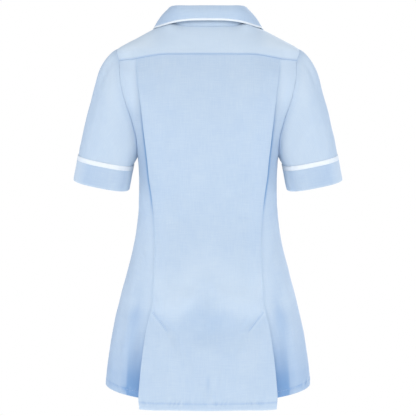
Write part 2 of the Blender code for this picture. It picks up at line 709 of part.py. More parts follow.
def button(index, material):
    """Plain round button with a raised rim, facing straight out of the right front."""
    level = BUTTON_FIRST_LEVEL - BUTTON_SPACING * index
    seat = form(np.pi, level, OVERLAP_LIFT + BUTTON_GAP)
    ahead = outward(seat)
    across = unit(np.cross(np.array((1.0, 0, 0)), ahead))
    aside = np.cross(ahead, across)
    angles = 2 * np.pi * np.arange(BUTTON_SIDES) / BUTTON_SIDES
    circle = np.outer(np.cos(angles), across) + np.outer(np.sin(angles), aside)
    bm = bmesh.new()
    rings = []
    for radius, height in BUTTON_PROFILE:
        centre = seat + ahead * BUTTON_THICK * height
        ring = circle if radius else circle[:1]
        rings.append([bm.verts.new(point) for point in centre + ring * BUTTON_RADIUS * radius])
    for near, far in zip(rings, rings[1:]):
        for i in range(BUTTON_SIDES):
            n = (i + 1) % BUTTON_SIDES
            corners = [near[i % len(near)], near[n % len(near)], far[n % len(far)], far[i % len(far)]]
            bm.faces.new(list(dict.fromkeys(corners)))
    return add_object(f"button_{index + 1}", bm, material)


def build():
    """Clear the scene and make the whole tunic."""
    for obj in list(bpy.data.objects):
        bpy.data.objects.remove(obj)
    blue = make_material("blue_polycotton", (0.56, 0.67, 0.84), 0.85)
    white = make_material("white_trim", (0.86, 0.88, 0.90), 0.8)
    plastic = make_material("blue_button", (0.50, 0.62, 0.80), 0.35)
    yoke(blue)
    back_centre(blue)
    collar(blue)
    collar_piping(white)
    for side, word in ((1, "left"), (-1, "right")):
        side_back(side, f"side_back_{word}", blue)
        front(side, f"front_{word}", blue)
        lapel(side, f"lapel_{word}", blue)
        lapel_piping(side, f"lapel_piping_{word}", white)
        sleeve(side, f"sleeve_{word}", blue)
        tape(side, f"sleeve_tape_{word}", white)
        cuff(side, f"cuff_{word}", blue)
    for index in range(BUTTON_COUNT):
        button(index, plastic)


build()
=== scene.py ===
"""Looks of the revere collar tunic: fine cloth shells, stitching, buttons, finishes and light.

Metres, +Z up, in the frame's own axes: the wearer faces -Y and the wearer's left is +X.
"""

from collections import namedtuple

import bpy
import numpy as np
from mathutils import Matrix


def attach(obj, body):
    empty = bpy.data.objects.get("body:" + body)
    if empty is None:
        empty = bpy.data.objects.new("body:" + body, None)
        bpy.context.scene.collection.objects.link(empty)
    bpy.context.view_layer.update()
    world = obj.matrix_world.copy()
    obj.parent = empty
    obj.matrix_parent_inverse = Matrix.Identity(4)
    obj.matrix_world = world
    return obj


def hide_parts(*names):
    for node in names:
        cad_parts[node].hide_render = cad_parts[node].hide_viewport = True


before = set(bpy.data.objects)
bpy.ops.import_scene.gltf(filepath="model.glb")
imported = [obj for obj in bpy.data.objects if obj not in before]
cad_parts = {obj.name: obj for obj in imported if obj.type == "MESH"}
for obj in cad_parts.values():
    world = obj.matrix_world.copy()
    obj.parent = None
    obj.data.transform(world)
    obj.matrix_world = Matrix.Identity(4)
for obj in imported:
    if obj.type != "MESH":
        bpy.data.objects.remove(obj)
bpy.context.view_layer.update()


def in_metres(kind, lengths, rows):
    """Rows of a table in which that many first values are given in millimetres."""
    return [kind(*(value / 1000 for value in row[:lengths]), *row[lengths:]) for row in rows]


# Cloth as it is sewn: one layer with its finish, two layers, and the turned layer at a hem
SHEET = 0.0009
DOUBLE_SHEET = 0.0014
TURNED = 0.0007
ROUNDED_EDGE = 0.45

# Main lengths, measured from the back neck seam
CLOTH = 0.0012
LAYER_GAP = 0.0006
SEAM = 0.00015
SEAM_TURN = np.radians(0.15)
CENTRE_BACK_HEM = -0.760
SIDE_BACK_HEM = -0.740
UNDERLAY_HEM = -0.754
SIDE_HEM_ARCH = 0.004
CENTRE_FRONT_HEM = -0.755
UNDERARM_LEVEL = -0.262
SHOULDER_TIP_LEVEL = -0.040
NECK_SIDE_LEVEL = 0.012
NECK_SIDE_ACROSS = 0.079
NECK_CURVE = 2.2
KICK_LEVEL = -0.561
STITCHED_FROM = -0.345

# Horizontal sections of the form that the tunic is filled out on
Section = namedtuple("Section", "level half_width back front square")
SECTIONS = in_metres(Section, 4, (
    (18, 64, 40, 34, 2.0), (12, 79, 45, 40, 2.0), (0, 109, 55, 50, 2.0),
    (-20, 148, 66, 62, 2.0), (-40, 184, 73.5, 74, 2.1), (-65, 190, 81, 88, 2.2),
    (-100, 196, 91, 104, 2.4), (-130, 194, 97.5, 115, 2.4), (-190, 168, 102.5, 129, 2.4),
    (-225, 154, 101, 132, 2.4), (-262, 146, 96.5, 130, 2.4), (-300, 143.4, 90, 120, 2.4),
    (-345, 143.2, 84.5, 108, 2.4), (-400, 147.5, 86, 102, 2.4), (-450, 156, 93, 104, 2.4),
    (-500, 168.7, 103, 110, 2.4), (-560, 185, 114.5, 119, 2.3), (-620, 199.3, 123, 127, 2.3),
    (-690, 211, 130, 133, 2.3), (-757, 218, 136, 137, 2.3),
))

# Back pleats: how far each fold lies from the centre line
Fold = namedtuple("Fold", "level across")
FOLDS = in_metres(Fold, 2, (
    (-62, 144.7), (-109, 138.9), (-165, 130.8), (-220, 123.8), (-266, 119.8), (-303, 117.8),
    (-345, 112.8), (-390, 108.6), (-441, 107.7), (-525, 109.8), (-561, 112.7), (-580, 117.9),
    (-622, 124.9), (-668, 129.6), (-711, 132.4), (-740, 133.6), (-757, 132.0),
))
PLEAT_RETURN = 0.020
PLEAT_UNDERLAY = 0.026
UNDERLAY_FALL = 2.0
FOLD_RADIUS = 0.0008
FOLD_ANGLES = np.radians(np.linspace(-68, 68, 7))
FACE_SHARES = np.linspace(-1, 1, 91)
UNDER_SHARES = np.linspace(0, 1, 8)
FACE_START = len(UNDER_SHARES) + len(FOLD_ANGLES)
PLEAT_STACK = 0.0030
STACK_AT_YOKE = 0.35
STACK_FROM = -0.055
STACK_TO = -0.024
STACK_PAST_FOLD = (0.008, 0.001)
KICK_LIFT = 0.012
KICK_CENTRE_LIFT = 0.004
KICK_LIFT_FROM = -0.080
KICK_DIP = 0.030
KICK_DIP_BEND = 1.6
KICK_DIP_TO = 0.070
ACTION_LEVEL = -0.215
ACTION_SPAN = 0.075
ACTION_LIFT = 0.004
ACTION_LIFT_FROM = -0.030
ACTION_DIP = 0.010
ACTION_DIP_TO = 0.022

# Yoke seam across the back, and how far the yoke's edge laps over the panels below it
SeamPoint = namedtuple("SeamPoint", "across level")
YOKE_SEAM = in_metres(SeamPoint, 2, (
    (0, -53.9), (60, -53.9), (95, -54.3), (120, -58.0), (145, -62.0), (180, -64.2),
))
YOKE_LAP = 0.0020
YOKE_LAP_STEPS = 0.13
YOKE_OVER = 0.0010
YOKE_OVER_FADE = (0.030, 0.005)
YOKE_TURNED_TO = (0.0095, 0.0075)

# Armhole steps from the shoulder tip to the underarm, and rows of the panels below it
ARM_STEPS = 14
YOKE_ARM_STEPS = 3
ARM_TURN_BACK = np.radians(34)
ARM_TURN_FRONT = np.radians(37)
ARM_STRAIGHTER = 0.085
ARM_STRAIGHT_AT = 1.90
ARM_STRAIGHT_SPAN = 0.48
SHOULDER_ROWS = 6
SIDE_ROWS = 24
BREAK_ROW = 11

# Grids of the cloth: how many lines lie between two edges, and about how long their run is
YOKE_ROWS = (34, 0.10)
YOKE_COLUMNS = (128, 0.37)
CENTRE_ROWS = (232, 0.70)
SIDE_BACK_ROWS = (230, 0.70)
SIDE_BACK_COLUMNS = (38, 0.10)
FRONT_ROWS = (245, 0.77)
FRONT_COLUMNS = (70, 0.22)
LAPEL_ROWS = (52, 0.15)
LAPEL_COLUMNS = (30, 0.09)
COLLAR_COLUMNS = (150, 0.46)
SLEEVE_ROWS = (62, 0.18)
TAPE_ROWS = (6, 0.02)
CUFF_ROWS = (15, 0.043)
CRISP = 0.0007

# Fronts, darts and lapels
OVERLAP = 0.018
OVERLAP_LIFT = CLOTH + 0.0009
OVERLAP_FLAT = 0.005
OVERLAP_SETTLED = 0.035
DART_ACROSS = 0.078
DART_TOP = -0.268
DART_END = -0.495
DART_FADE = 0.03
DART_WIDTH = 0.0035
DART_DEPTH = 0.0009
LAPEL_TIP_ACROSS = 0.102
LAPEL_TIP_LEVEL = -0.092
LAPEL_TOP = 0.335
LAPEL_END_RIGHT = 0.97
LAPEL_END_LEFT = 0.80
LAPEL_FOOT_WIDTH = 0.0024
LAPEL_EDGE_BOW = 0.012
LAPEL_FULLNESS = 0.0030
LAPEL_FULL_WIDTH = 0.7
LAPEL_LIFT = LAYER_GAP + CLOTH - DOUBLE_SHEET / 2
LAPEL_ROLL_ANGLES = np.radians(np.linspace(-80, 75, 8))

# Collar, from the centre back (0) past the shoulder seam (0.6) to its front end (1)
CollarPoint = namedtuple("CollarPoint", "roll_x roll_y roll_z edge_x edge_y edge_z along")
COLLAR = in_metres(CollarPoint, 6, (
    (0, 55, 41, 0, 63, 15.8, 0.0),
    (37, 51.5, 41.2, 41.5, 59, 15.1, 0.2),
    (64, 37, 42.7, 76.5, 41, 11, 0.4),
    (72.5, 23, 42.6, 97, 20.5, 6.8, 0.5),
    (77.5, -2, 40.2, 110, 1, 3.8, 0.6),
    (74.5, -40, 19.5, 114, -30, -6.5, 0.7),
    (67.6, -68.5, -10.4, 113, -47.5, -23, 0.8),
    (58.5, -76.5, -30.8, 108.5, -65, -41, 0.9),
    (50.2, -83, -50.6, 102, -78, -59, 1.0),
))
COLLAR_SHOULDER = 0.6
COLLAR_FRONT_END = 0.30
COLLAR_ROLL = 0.0016
COLLAR_BULGE = 0.0028
COLLAR_BULGE_UP = 0.5
COLLAR_WAVE = 0.0007
STAND_SHARES = np.linspace(0, 1, 9)
ROLL_ANGLES = np.radians(np.linspace(22.5, 157.5, 7))
FALL_SHARES = np.linspace(0.06, 1, 20)
PIPING_START_ROW = len(STAND_SHARES) + len(ROLL_ANGLES) - 1
PIPING_WIDTH = 0.0042
PIPING_THICK = 0.0020
PIPING_SIDES = 12
PIPING_REACH = PIPING_WIDTH / 2 + SEAM
PIPING_LIFT = LAYER_GAP + CLOTH / 2 + 0.0004

# Sleeves, for the wearer's left
SLEEVE_HEM = np.array((0.2222, -0.008, -0.3190))
SLEEVE_AXIS = np.array((0.200, -0.065, -0.978))
SLEEVE_HALF_ACROSS = 0.0573
SLEEVE_HALF_DEEP = 0.0620
SLEEVE_SQUARE = 0.76
SLEEVE_HEAD_PITCH = np.radians(22)
SLEEVE_UNDER_PITCH = np.radians(74)
SLEEVE_SIDEWAYS = 0.18
SLEEVE_GAP_TILT = np.radians(81)
SLEEVE_HEAD_PULL = 0.20
SLEEVE_HEM_PULL = 0.13
SLEEVE_GIRTH = 0.37
GATHER_PITCH = 0.0085
ARM_GAP = 0.0004
ARM_FINE = 5
ARM_COUNT = 2 * ARM_STEPS * ARM_FINE
CUFF_DEPTH = 0.043
CUFF_PROUD = 0.0013
CUFF_FOLD_ANGLES = np.radians(np.linspace(22, 158, 6))
TAPE_WIDTH = 0.009

# Buttons on the wearer's right front, and the two bars of thread that hold each one
BUTTON_COUNT = 5
BUTTON_FIRST_LEVEL = -0.218
BUTTON_SPACING = 0.090
BUTTON_RADIUS = 0.009
BUTTON_THICK = 0.003
BUTTON_GAP = 0.0006
BUTTON_RIM = 0.0016
BUTTON_WELL = 0.0009
BUTTON_UNDER = 0.0003
BUTTON_ROUNDING = 0.0005
BUTTON_HOLE_RADIUS = 0.0009
BUTTON_HOLE_APART = 0.0017
BAR_APART = 0.00028
BAR_LEVEL = BUTTON_THICK - BUTTON_WELL + 0.0001
BAR_SIZE = np.array((2 * BUTTON_HOLE_APART + 0.0012, 0.0006, 0.0007))

# Buttonholes: a slot a little longer than the button, with close stitches square to its edge
SLOT_AT = 0.0085
SLOT_HALF_LENGTH = 0.0108
SLOT_HALF_HEIGHT = 0.0011
SLOT_STITCH = {"pitch": 0.0007, "length": 0.0017, "thread": 0.00045, "across": True}

# Sewing: thread, length of a stitch and its gap, distance of the lines from their edges
THREAD = 0.00050
STITCH_LENGTH = 0.0026
STITCH_PITCH = 0.0034
STITCH_PROUD = 0.10
HEM_LINE = 0.014
SIDE_HEM_LINE = 0.012
HEM_STEP = 0.001
EDGE_LINE = 0.0022
TAPE_LINE = 0.0012
FRONT_EDGE_LINE = 0.006
FRONT_EDGE_SEWN = (BREAK_ROW / (ARM_STEPS + SIDE_ROWS) + 0.01, 0.985)
PLEAT_LINE = 0.0030
PLEAT_POINTS = 80
TACK_FROM_FOLD = 0.003
TACK_DROP = 0.004
TACK_END = (0.084, -0.604)
TACK_POINTS = 20

# Creases in millimetres: a soft ridge (height above 0) or trough (below 0) between two places
Crease = namedtuple("Crease", "across level to_across to_level height width bow")
BACK_CREASES = in_metres(Crease, 7, (
    (0, -520, 2, -640, -2.2, 16, 2),
    (-104, -556, -4, -546, 3.0, 24, 12),
    (106, -557, 4, -547, 2.8, 24, -12),
    (-82, -618, 80, -612, -4.0, 30, 6),
    (-100, -572, -52, -655, -2.2, 9, 4),
    (100, -573, 48, -664, -2.3, 9, -5),
    (-30, -672, -18, -750, 1.3, 12, 1),
    (36, -664, 26, -752, 1.2, 13, -2),
    (4, -690, 2, -748, -1.5, 7, 0),
    (-96, -330, -20, -352, -1.0, 12, 8),
    (94, -336, 28, -361, -0.9, 11, -7),
    (-92, -392, -48, -379, -0.8, 8, 2),
    (90, -401, 40, -383, -0.9, 9, -3),
    (-112, -150, -60, -290, -0.9, 14, 10),
    (114, -160, 70, -280, -0.8, 13, -8),
))
SIDE_CREASES = in_metres(Crease, 7, (
    (152, -470, 174, -735, 2.6, 11, 3),
    (136, -540, 152, -735, -2.2, 9, -2),
    (182, -600, 196, -735, -1.6, 8, 1),
    (144, -285, 122, -342, -1.2, 7, 2),
    (146, -360, 118, -392, -1.0, 7, -2),
    (144, -170, 138, -240, -1.0, 6, 1),
    (142, -420, 122, -505, -0.9, 8, 2),
))
FRONT_CREASES = in_metres(Crease, 7, (
    (152, -268, 70, -200, -4.0, 12, 8),
    (148, -292, 88, -246, 2.6, 9, 6),
    (146, -312, 96, -276, -3.0, 9, 4),
    (132, -350, 50, -364, -2.8, 10, -8),
    (130, -378, 62, -374, 1.8, 8, 3),
    (128, -400, 66, -388, -2.6, 10, 6),
    (86, -455, 108, -745, 4.4, 18, 6),
    (136, -500, 160, -742, -4.0, 14, -4),
    (62, -500, 74, -748, -3.0, 13, 3),
    (40, -560, 44, -748, 2.4, 14, 2),
    (110, -80, 126, -170, -2.4, 10, 4),
    (94, -95, 104, -185, 1.6, 10, 4),
    (10, -262, 52, -246, -1.6, 6, 2),
    (12, -352, 56, -340, -1.8, 7, -2),
    (11, -442, 50, -454, -1.5, 7, 2),
    (10, -532, 46, -548, -1.3, 7, 1),
))
SLEEVE_CREASES = in_metres(Crease, 7, (
    (-60, 14, -46, 70, -2.2, 9, 3),
    (-34, 30, -28, 178, -1.6, 12, -3),
    (46, 52, 14, 148, -1.8, 10, 4),
    (62, 88, 30, 160, 1.3, 9, -3),
    (74, 30, 40, 96, -1.4, 8, 2),
    (150, 40, 172, 166, -1.8, 12, 3),
    (212, 30, 200, 120, -1.5, 10, -2),
    (118, 50, 138, 150, -1.7, 9, 3),
    (96, 60, 92, 165, -1.4, 8, 1),
))
# Where creases fade out, and how much the left and right sides' creases differ
FLAT_BY_EDGE = 0.012
FLAT_BY_YOKE = (-0.006, 0.024)
SIDE_STRETCH = 0.02
SIDE_SHIFT = 0.004

# Unevenness of cloth that was pressed and then worn: broad waves, in millimetres, and their shares
Wave = namedtuple("Wave", "length share")
RUMPLE = in_metres(Wave, 1, ((115, 0.45), (83, 0.40), (61, 0.32), (44, 0.20), (33, 0.12)))
RUMPLE_HEIGHT = 0.00055

# Puckers beside a line of stitches: size, reach to both sides and pitch. The flecks are tones: painted
# highlight and shade beside the puckers
Pucker = namedtuple("Pucker", "size spread pitch")
PUCKERS = {
    "yoke": Pucker(0.00016, 0.006, 0.0092),
    "pleat": Pucker(0.00030, 0.006, 0.0092),
    "centre_hem": Pucker(0.00085, 0.008, 0.0092),
    "centre_hem_flecks": Pucker(0.20, 0.0055, 0.0131),
    "panel_hem": Pucker(0.00105, 0.009, 0.0092),
    "side_back_flecks": Pucker(0.42, 0.0060, 0.0123),
    "front_flecks": Pucker(0.10, 0.0060, 0.0123),
    "side_seam": Pucker(0.00020, 0.005, 0.0092),
    "sleeve": Pucker(0.00022, 0.006, 0.0092),
    "tape": Pucker(0.00012, 0.006, 0.0092),
    "cuff": Pucker(0.00018, 0.006, 0.0092),
}
SEAM_PUCKER_LINE = 0.002
PLEAT_PUCKER_SHIFT = 0.003

# Terms of a tone or a relief. Each is a strength times soft steps (0 at start, 1 at end), humps
# (1 at centre, faded out a span away) and plain measures. A tone above 0 is painted paler, as
# painted light and on some edges as rubbing, and one below 0 is painted shade; a relief is in
# metres. low, top and out are distances along the cloth from the hem, the upper edge and the outer
# edge, and beyond is the distance past the pleat's fold
Step = namedtuple("Step", "measure start end")
Hump = namedtuple("Hump", "measure centre span")
TOP_SEAM_SHADE = (-0.35, Hump("top", 0.0, 0.0030))
# Yoke: its fullness beside the neck; then painted light over it above its edge, painted shade
# along its seam and the neck seam, and painted light towards its ends and its upper outer part
YOKE_RELIEF = ((0.0042, Hump("aside", 0.076, 0.013), Hump("level", 0.003, 0.009)),)
YOKE_TONES = (
    (0.50, Step("above", 0.0008, 0.0030)),
    (-0.40, Hump("above", 0.0, 0.0012)),
    (-0.20, Hump("top", 0.0, 0.0020)),
    (0.26, Step("aside", 0.125, 0.165)),
    (0.50, Step("aside", 0.095, 0.130), Step("level", -0.052, -0.034)),
)
# Hems: their paler edge, part rubbed and part painted highlight, and painted shade in the groove of their
# stitches
CENTRE_TONES = (
    (0.45, Step("low", 0.0030, 0.0005)),
    (-0.35, Hump("low", HEM_LINE, 0.0018)),
    TOP_SEAM_SHADE,
)
PANEL_TONES = ((0.10, Step("low", 0.0030, 0.0005)), (-0.35, Hump("low", SIDE_HEM_LINE, 0.0018)))
# Tacks: painted highlight as of a ridge beside painted shade as of a groove, and a deeper mark on the centre
# line
TACK_ENDS = (Step("along", -0.04, 0.04), Step("along", 1.10, 0.90))
TACK_TONES = (
    (0.25, *TACK_ENDS, Hump("off", -0.0030, 0.0018)),
    (-0.38, *TACK_ENDS, Hump("off", 0.0, 0.0018)),
    (-0.22, Hump("aside", 0.0, 0.0035), Hump("level", -0.706, 0.015)),
)
TACK_MARK = ((0.1115, -0.569), (0.0815, -0.606))
# Line of shade beside the pleat's fold: deeper below the yoke, weaker below the stitched part
FOLD_SHADE = ((0.42,), (0.58, Step("level", -0.17, -0.25)))
FOLD_SHADE_LEFT = ((1.0,), (-0.70, Step("level", -0.34, -0.38)), (-0.25, Step("level", -0.40, -0.46)))
FOLD_SHADE_AT = ((0.0012,), (0.0036, Hump("level", ACTION_LEVEL, ACTION_SPAN)))
FOLD_SHADE_WIDTH = 0.0026
SHADE_OPENING = 1.6
AT_SEAT = Hump("level", -0.575, 0.055)
SIDE_TONES = (
    # Painted light over the shoulder blade; painted shade along the fold's line and in the opened
    # pleat; painted light below the waist
    (0.45, Step("level", -0.19, -0.13)),
    (-1.0, "fold_shade", Step("level", -0.062, -0.085), Step("level", -0.58, -0.55)),
    (-0.60, "opened", Step("beyond", 0.035, 0.029)),
    (-0.26, Step("level", KICK_LEVEL, CENTRE_BACK_HEM), Step("beyond", 0.052, 0.028)),
    (0.25, Step("level", -0.35, -0.43), Step("level", -0.585, -0.55)),
    # Painted highlight on the seat's ridge and painted shade in its hollow; painted shade over the
    # skirt's lower part, above its hem and on the underarm
    (0.14, AT_SEAT, Hump("beyond", 0.056, 0.013)),
    (-0.36, AT_SEAT, Hump("beyond", 0.029, 0.012)),
    (-0.16, Step("level", -0.60, -0.70), Step("out", 0.004, 0.050)),
    (-0.10, Step("level", -0.685, -0.705)),
    (-0.30, Hump("level", -0.270, 0.055), Step("beyond", 0.030, 0.010)),
    # Painted shade along the armhole seam and the yoke seam
    (-0.50, Step("level", -0.10, -0.25), Step("level", UNDERARM_LEVEL, UNDERARM_LEVEL + 0.02),
     Hump("out", 0.0, 0.0030)),
    TOP_SEAM_SHADE,
)
FOLD_NEAR_FLAT = 0.010
# Lapel: a paler outer edge, part rubbed and part painted highlight
LAPEL_TONES = ((0.40, Step("out", 0.0025, 0.0005)),)
# Collar: a little deeper overall, and a paler edge along its fall, part rubbed and part painted highlight
COLLAR_TONES = ((-0.05,), (0.30, Step("low", 0.0025, 0.0005)))
# Sleeve: fine gathers at its eased head and the fullness below; share is 0 at the shoulder
EASED = (Hump("fall", 0.0, 0.012), Step("share", 0.375, 0.175))
SLEEVE_RELIEF = (
    (0.0004, "gathers", *EASED),
    (0.0038, Hump("fall", 0.052, 0.038), Step("fall", 0.0, 0.012), Step("share", 0.60, 0.25)),
)
# Sleeve tones: painted light below its head, more on its inner side where the body shades it and on its
# upper outer part; painted shade in its eased head and gathers and along its armhole seam
SLEEVE_TONES = (
    (0.25, Step("fall", 0.0, 0.020)),
    (0.60, Step("fall", 0.0, 0.020), Step("share", 0.50, 0.90)),
    (-0.20, *EASED),
    (-0.10, "gathers", *EASED),
    (0.24, Step("fall", 0.065, 0.015), Step("share", 0.60, 0.35)),
    (-0.40, Hump("fall", 0.0, 0.0022), Step("share", 0.30, 0.80)),
)
# Cuff: a little deeper overall; its paler fold, part rubbed and part painted highlight; and painted light
# round the arm where the body and its turn shade it; inward is 1 beside the body
CUFF_TONES = (
    (-0.18,),
    (0.40, Hump("depth", CUFF_DEPTH, 0.0022)),
    (0.22, Step("inward", 0.35, 0.80)),
    (0.80, Step("inward", 0.86, 0.98)),
    (0.90, Step("inward", 0.32, 0.03)),
)

# Soft fold under the seat, shaped like a wide W, with painted highlight above it and painted shade below it;
# its values away from and on the centre line
SeatFold = namedtuple("SeatFold", "trough trough_at trough_span fade_from fade_to pale deep_at")
SEAT_ASIDE = SeatFold(1.0, 0.026, 0.024, 0.015, 0.100, 0.36, 0.012)
SEAT_CENTRE = SeatFold(0.5, 0.056, 0.042, 0.070, 0.120, 0.26, 0.062)
SEAT_MIDDLE = 0.045
SEAT_EDGE = ((-0.524,), (-0.050, Step("aside", -0.010, 0.072)), (0.010, Step("aside", 0.085, 0.115)))
SEAT_WAVER = 0.003
SEAT_RELIEF = ((0.0022, Hump("below", -0.014, 0.020)), (-0.0028, "trough"))
SEAT_FADE_SHORTER = ((0.062, Step("aside", 0.030, 0.100)),)
SEAT_PALE = (-0.040, 0.055)
SEAT_DEEP = 0.18
SEAT_DEEP_FROM = -0.006

# Camera at the photograph's angle, and the studio
CAMERA_BACK = 2.0
CAMERA_LEVEL = -0.1859
CAMERA_PITCH = np.radians(5.23)
CAMERA_SENSOR = 36.0
CAMERA_LENS = 83.2
FLOOR_LEVEL = -1.40
FLOOR_SIZE = 3.0
FLOOR_GLOW = 0.35
WORLD_LIGHT = 0.47
WORLD_COLOUR = "#f0f4fb"
Lamp = namedtuple("Lamp", "name x y z aim wide high watts colour")
LAMPS = (
    Lamp("key_over_camera", 0.0, 2.5, 1.1, -0.40, 1.4, 1.0, 18, "#fffcf8"),
    Lamp("low_fill", 0.0, 2.4, -1.0, -0.20, 1.6, 0.5, 7, "#fbfdff"),
    Lamp("left_softbox", 1.8, 1.9, 0.5, -0.40, 1.0, 1.8, 14, "#f6faff"),
    Lamp("right_softbox", -1.8, 1.9, 0.5, -0.40, 1.0, 1.8, 14, "#f6faff"),
    Lamp("left_side", 2.6, 0.0, -0.3, -0.40, 1.0, 1.8, 13, "#d0e4ff"),
    Lamp("right_side", -2.6, 0.0, -0.3, -0.40, 1.0, 1.8, 13, "#d0e4ff"),
    Lamp("front_key", -1.1, -2.3, 1.1, -0.40, 1.4, 1.2, 40, "#fffcf8"),
)


def smooth(table, column, at, key="level"):
    """Value of one column of a table at the given key, on a smooth curve through its rows."""
    rows = sorted(table, key=lambda row: getattr(row, key))
    knots = np.array([getattr(row, key) for row in rows])
    values = np.array([getattr(row, column) for row in rows])
    slopes = np.gradient(values, knots)
    at = np.clip(at, knots[0], knots[-1])
    i = np.clip(np.searchsorted(knots, at) - 1, 0, len(knots) - 2)
    span = knots[i + 1] - knots[i]
    t = (at - knots[i]) / span
    return (values[i] * (1 + 2 * t) * (1 - t) ** 2 + values[i + 1] * t * t * (3 - 2 * t)
            + span * slopes[i] * t * (1 - t) ** 2 + span * slopes[i + 1] * t * t * (t - 1))


def between(first, last, share):
    """Value at a share of the way from the first to the last."""
    return first + (last - first) * share


def ease(value, start, end):
    """Soft step from 0 at start to 1 at end, whichever of them is the larger."""
    t = np.clip((value - start) / (end - start), 0, 1)
    return t * t * (3 - 2 * t)


def swell(value, centre, span):
    """Soft hump of height 1 that fades out a span away from its centre."""
    return np.exp(-((value - centre) / span) ** 2)


def total(terms, **measures):
    """Sum of a table of terms at the given measures."""
    result = 0.0
    for term, *parts in terms:
        for part in parts:
            if isinstance(part, str):
                term = term * measures[part]
            else:
                soft = ease if isinstance(part, Step) else swell
                term = term * soft(measures[part.measure], *part[1:])
        result = result + term
    return result


def fuller(wave, power):
    """A sine or cosine that rises faster, which squares the oval that it draws."""
    return np.sign(wave) * np.abs(wave) ** power


def unit(vectors):
    """The same directions at length 1."""
    return vectors / np.linalg.norm(vectors, axis=-1, keepdims=True)


def edged(count, width, start=0.0, end=1.0):
    """Shares from start to end, with one close to each edge so that the edge stays crisp."""
    near = (end - start) * CRISP / width
    return np.concatenate(([start], np.linspace(start + near, end - near, count), [end]))


def form_depth(ahead, level):
    """Depth of the form at a level, to the back where ahead is above 0 and to the front else."""
    return np.where(ahead >= 0, smooth(SECTIONS, "back", level), smooth(SECTIONS, "front", level))


def fullness(x, y, z):
    """1 on the form's surface, less inside it and more outside it."""
    square = smooth(SECTIONS, "square", z)
    half = smooth(SECTIONS, "half_width", z)
    return (np.abs(x) / half) ** square + (np.abs(y) / form_depth(y, z)) ** square


def outward(points):
    """Direction straight out of the form at each point."""
    x, y, z = points[..., 0], points[..., 1], points[..., 2]
    step = 0.0002
    slope = np.stack((
        fullness(x + step, y, z) - fullness(x - step, y, z),
        fullness(x, y + step, z) - fullness(x, y - step, z),
        fullness(x, y, z + step) - fullness(x, y, z - step)), axis=-1)
    return unit(slope)


def form(turn, level, lift=0.0):
    """Point of the form at an angle from the centre back and a level, moved out by lift."""
    turn, level = np.broadcast_arrays(turn, level)
    square = smooth(SECTIONS, "square", level)
    side, ahead = np.sin(turn), np.cos(turn)
    reach = (np.abs(side) ** square + np.abs(ahead) ** square) ** (-1 / square)
    points = np.stack((smooth(SECTIONS, "half_width", level) * reach * side,
                       form_depth(ahead, level) * reach * ahead, level), axis=-1)
    return points + outward(points) * np.asarray(lift)[..., None]


def turn_at(across, level):
    """Angle from the centre line at which the form is this far across."""
    square = smooth(SECTIONS, "square", level)
    share = np.clip(np.abs(across) / smooth(SECTIONS, "half_width", level), 0, 1)
    ahead = (1 - share ** square) ** (1 / square)
    return np.arctan2(share, ahead) * np.sign(across)


def fold_at(level):
    """How far the pleat's fold lies from the centre line at a level."""
    return smooth(FOLDS, "across", level)


def yoke_seam(across):
    """Level of the yoke seam at a distance from the centre line."""
    return smooth(YOKE_SEAM, "level", np.abs(across), "across")


def armhole(step, turn_depth):
    """Angle from the centre and level of the armhole, from the shoulder tip to the underarm."""
    middle = (SHOULDER_TIP_LEVEL + UNDERARM_LEVEL) / 2
    half = (SHOULDER_TIP_LEVEL - UNDERARM_LEVEL) / 2
    swing = np.pi * np.asarray(step) / ARM_STEPS
    bow = np.sin(swing) - ARM_STRAIGHTER * swell(swing, ARM_STRAIGHT_AT, ARM_STRAIGHT_SPAN)
    return np.pi / 2 - turn_depth * bow, middle + half * np.cos(swing)


def from_line(across, level, start, end):
    """How far along a straight line each place lies, as a share, and how far off it."""
    run = (end[0] - start[0], end[1] - start[1])
    length = np.hypot(*run)
    aside, down = across - start[0], level - start[1]
    return ((aside * run[0] + down * run[1]) / length ** 2,
            (aside * run[1] - down * run[0]) / length)


def creased(table, across, level, girth=0.0):
    """Height of a table's creases at each place; a girth repeats them round a tube."""
    height = np.zeros(np.broadcast(across, level).shape)
    for crease in table:
        for shift in ((-girth, 0, girth) if girth else (0,)):
            along, off = from_line(across + shift, level, crease[:2], crease[2:4])
            off = (off + crease.bow * np.sin(np.pi * np.clip(along, 0, 1))) / crease.width
            fade = ease(along, -0.10, 0.30) * ease(along, 1.10, 0.60)
            height += crease.height * fade * np.exp(-off ** 2) * (1 - 0.5 * off ** 2)
    return height


def rumple(across, level, seed):
    """Slight unevenness of the cloth; the odd factors keep its crossing waves out of step."""
    height = 0.0
    for i, (length, share) in enumerate(RUMPLE):
        heading = seed * 1.7 + i * 2.4
        wave = (across * np.cos(heading) + level * np.sin(heading)) * 2 * np.pi / length
        height = height + share * np.sin(wave + seed * 3.1 + 1.3 * np.sin(wave * 0.41 + i))
    return height * RUMPLE_HEIGHT


def puckers(kind, reach, along, seed):
    """Small ripples beside a line of stitches; the odd factors keep them uneven."""
    size, spread, pitch = PUCKERS[kind]
    lean = along + 0.5 * reach * np.sin(along * 61 + seed)
    wave = np.sin(2 * np.pi * lean / pitch + 2.6 * np.sin(lean * 131 + seed) + seed)
    uneven = 0.55 + 0.45 * np.sin(lean * 83 + seed * 2.3)
    return size * wave * uneven * np.exp(-(reach / spread) ** 2)


def closed(grid):
    """A tube's grid with its first column again at its end."""
    return np.concatenate((grid, grid[:, :1]), axis=1)


def reach_from(grid, edge):
    """Distance of each point of a grid from one of its edges, measured along the cloth."""
    axis = 0 if edge in ("top", "bottom") else 1
    steps = np.linalg.norm(np.diff(grid, axis=axis), axis=-1)
    pad = [(0, 0), (0, 0)]
    pad[axis] = (1, 0)
    reach = np.cumsum(np.pad(steps, pad), axis=axis)
    if edge in ("top", "left"):
        return reach
    return reach.max(axis=axis, keepdims=True) - reach


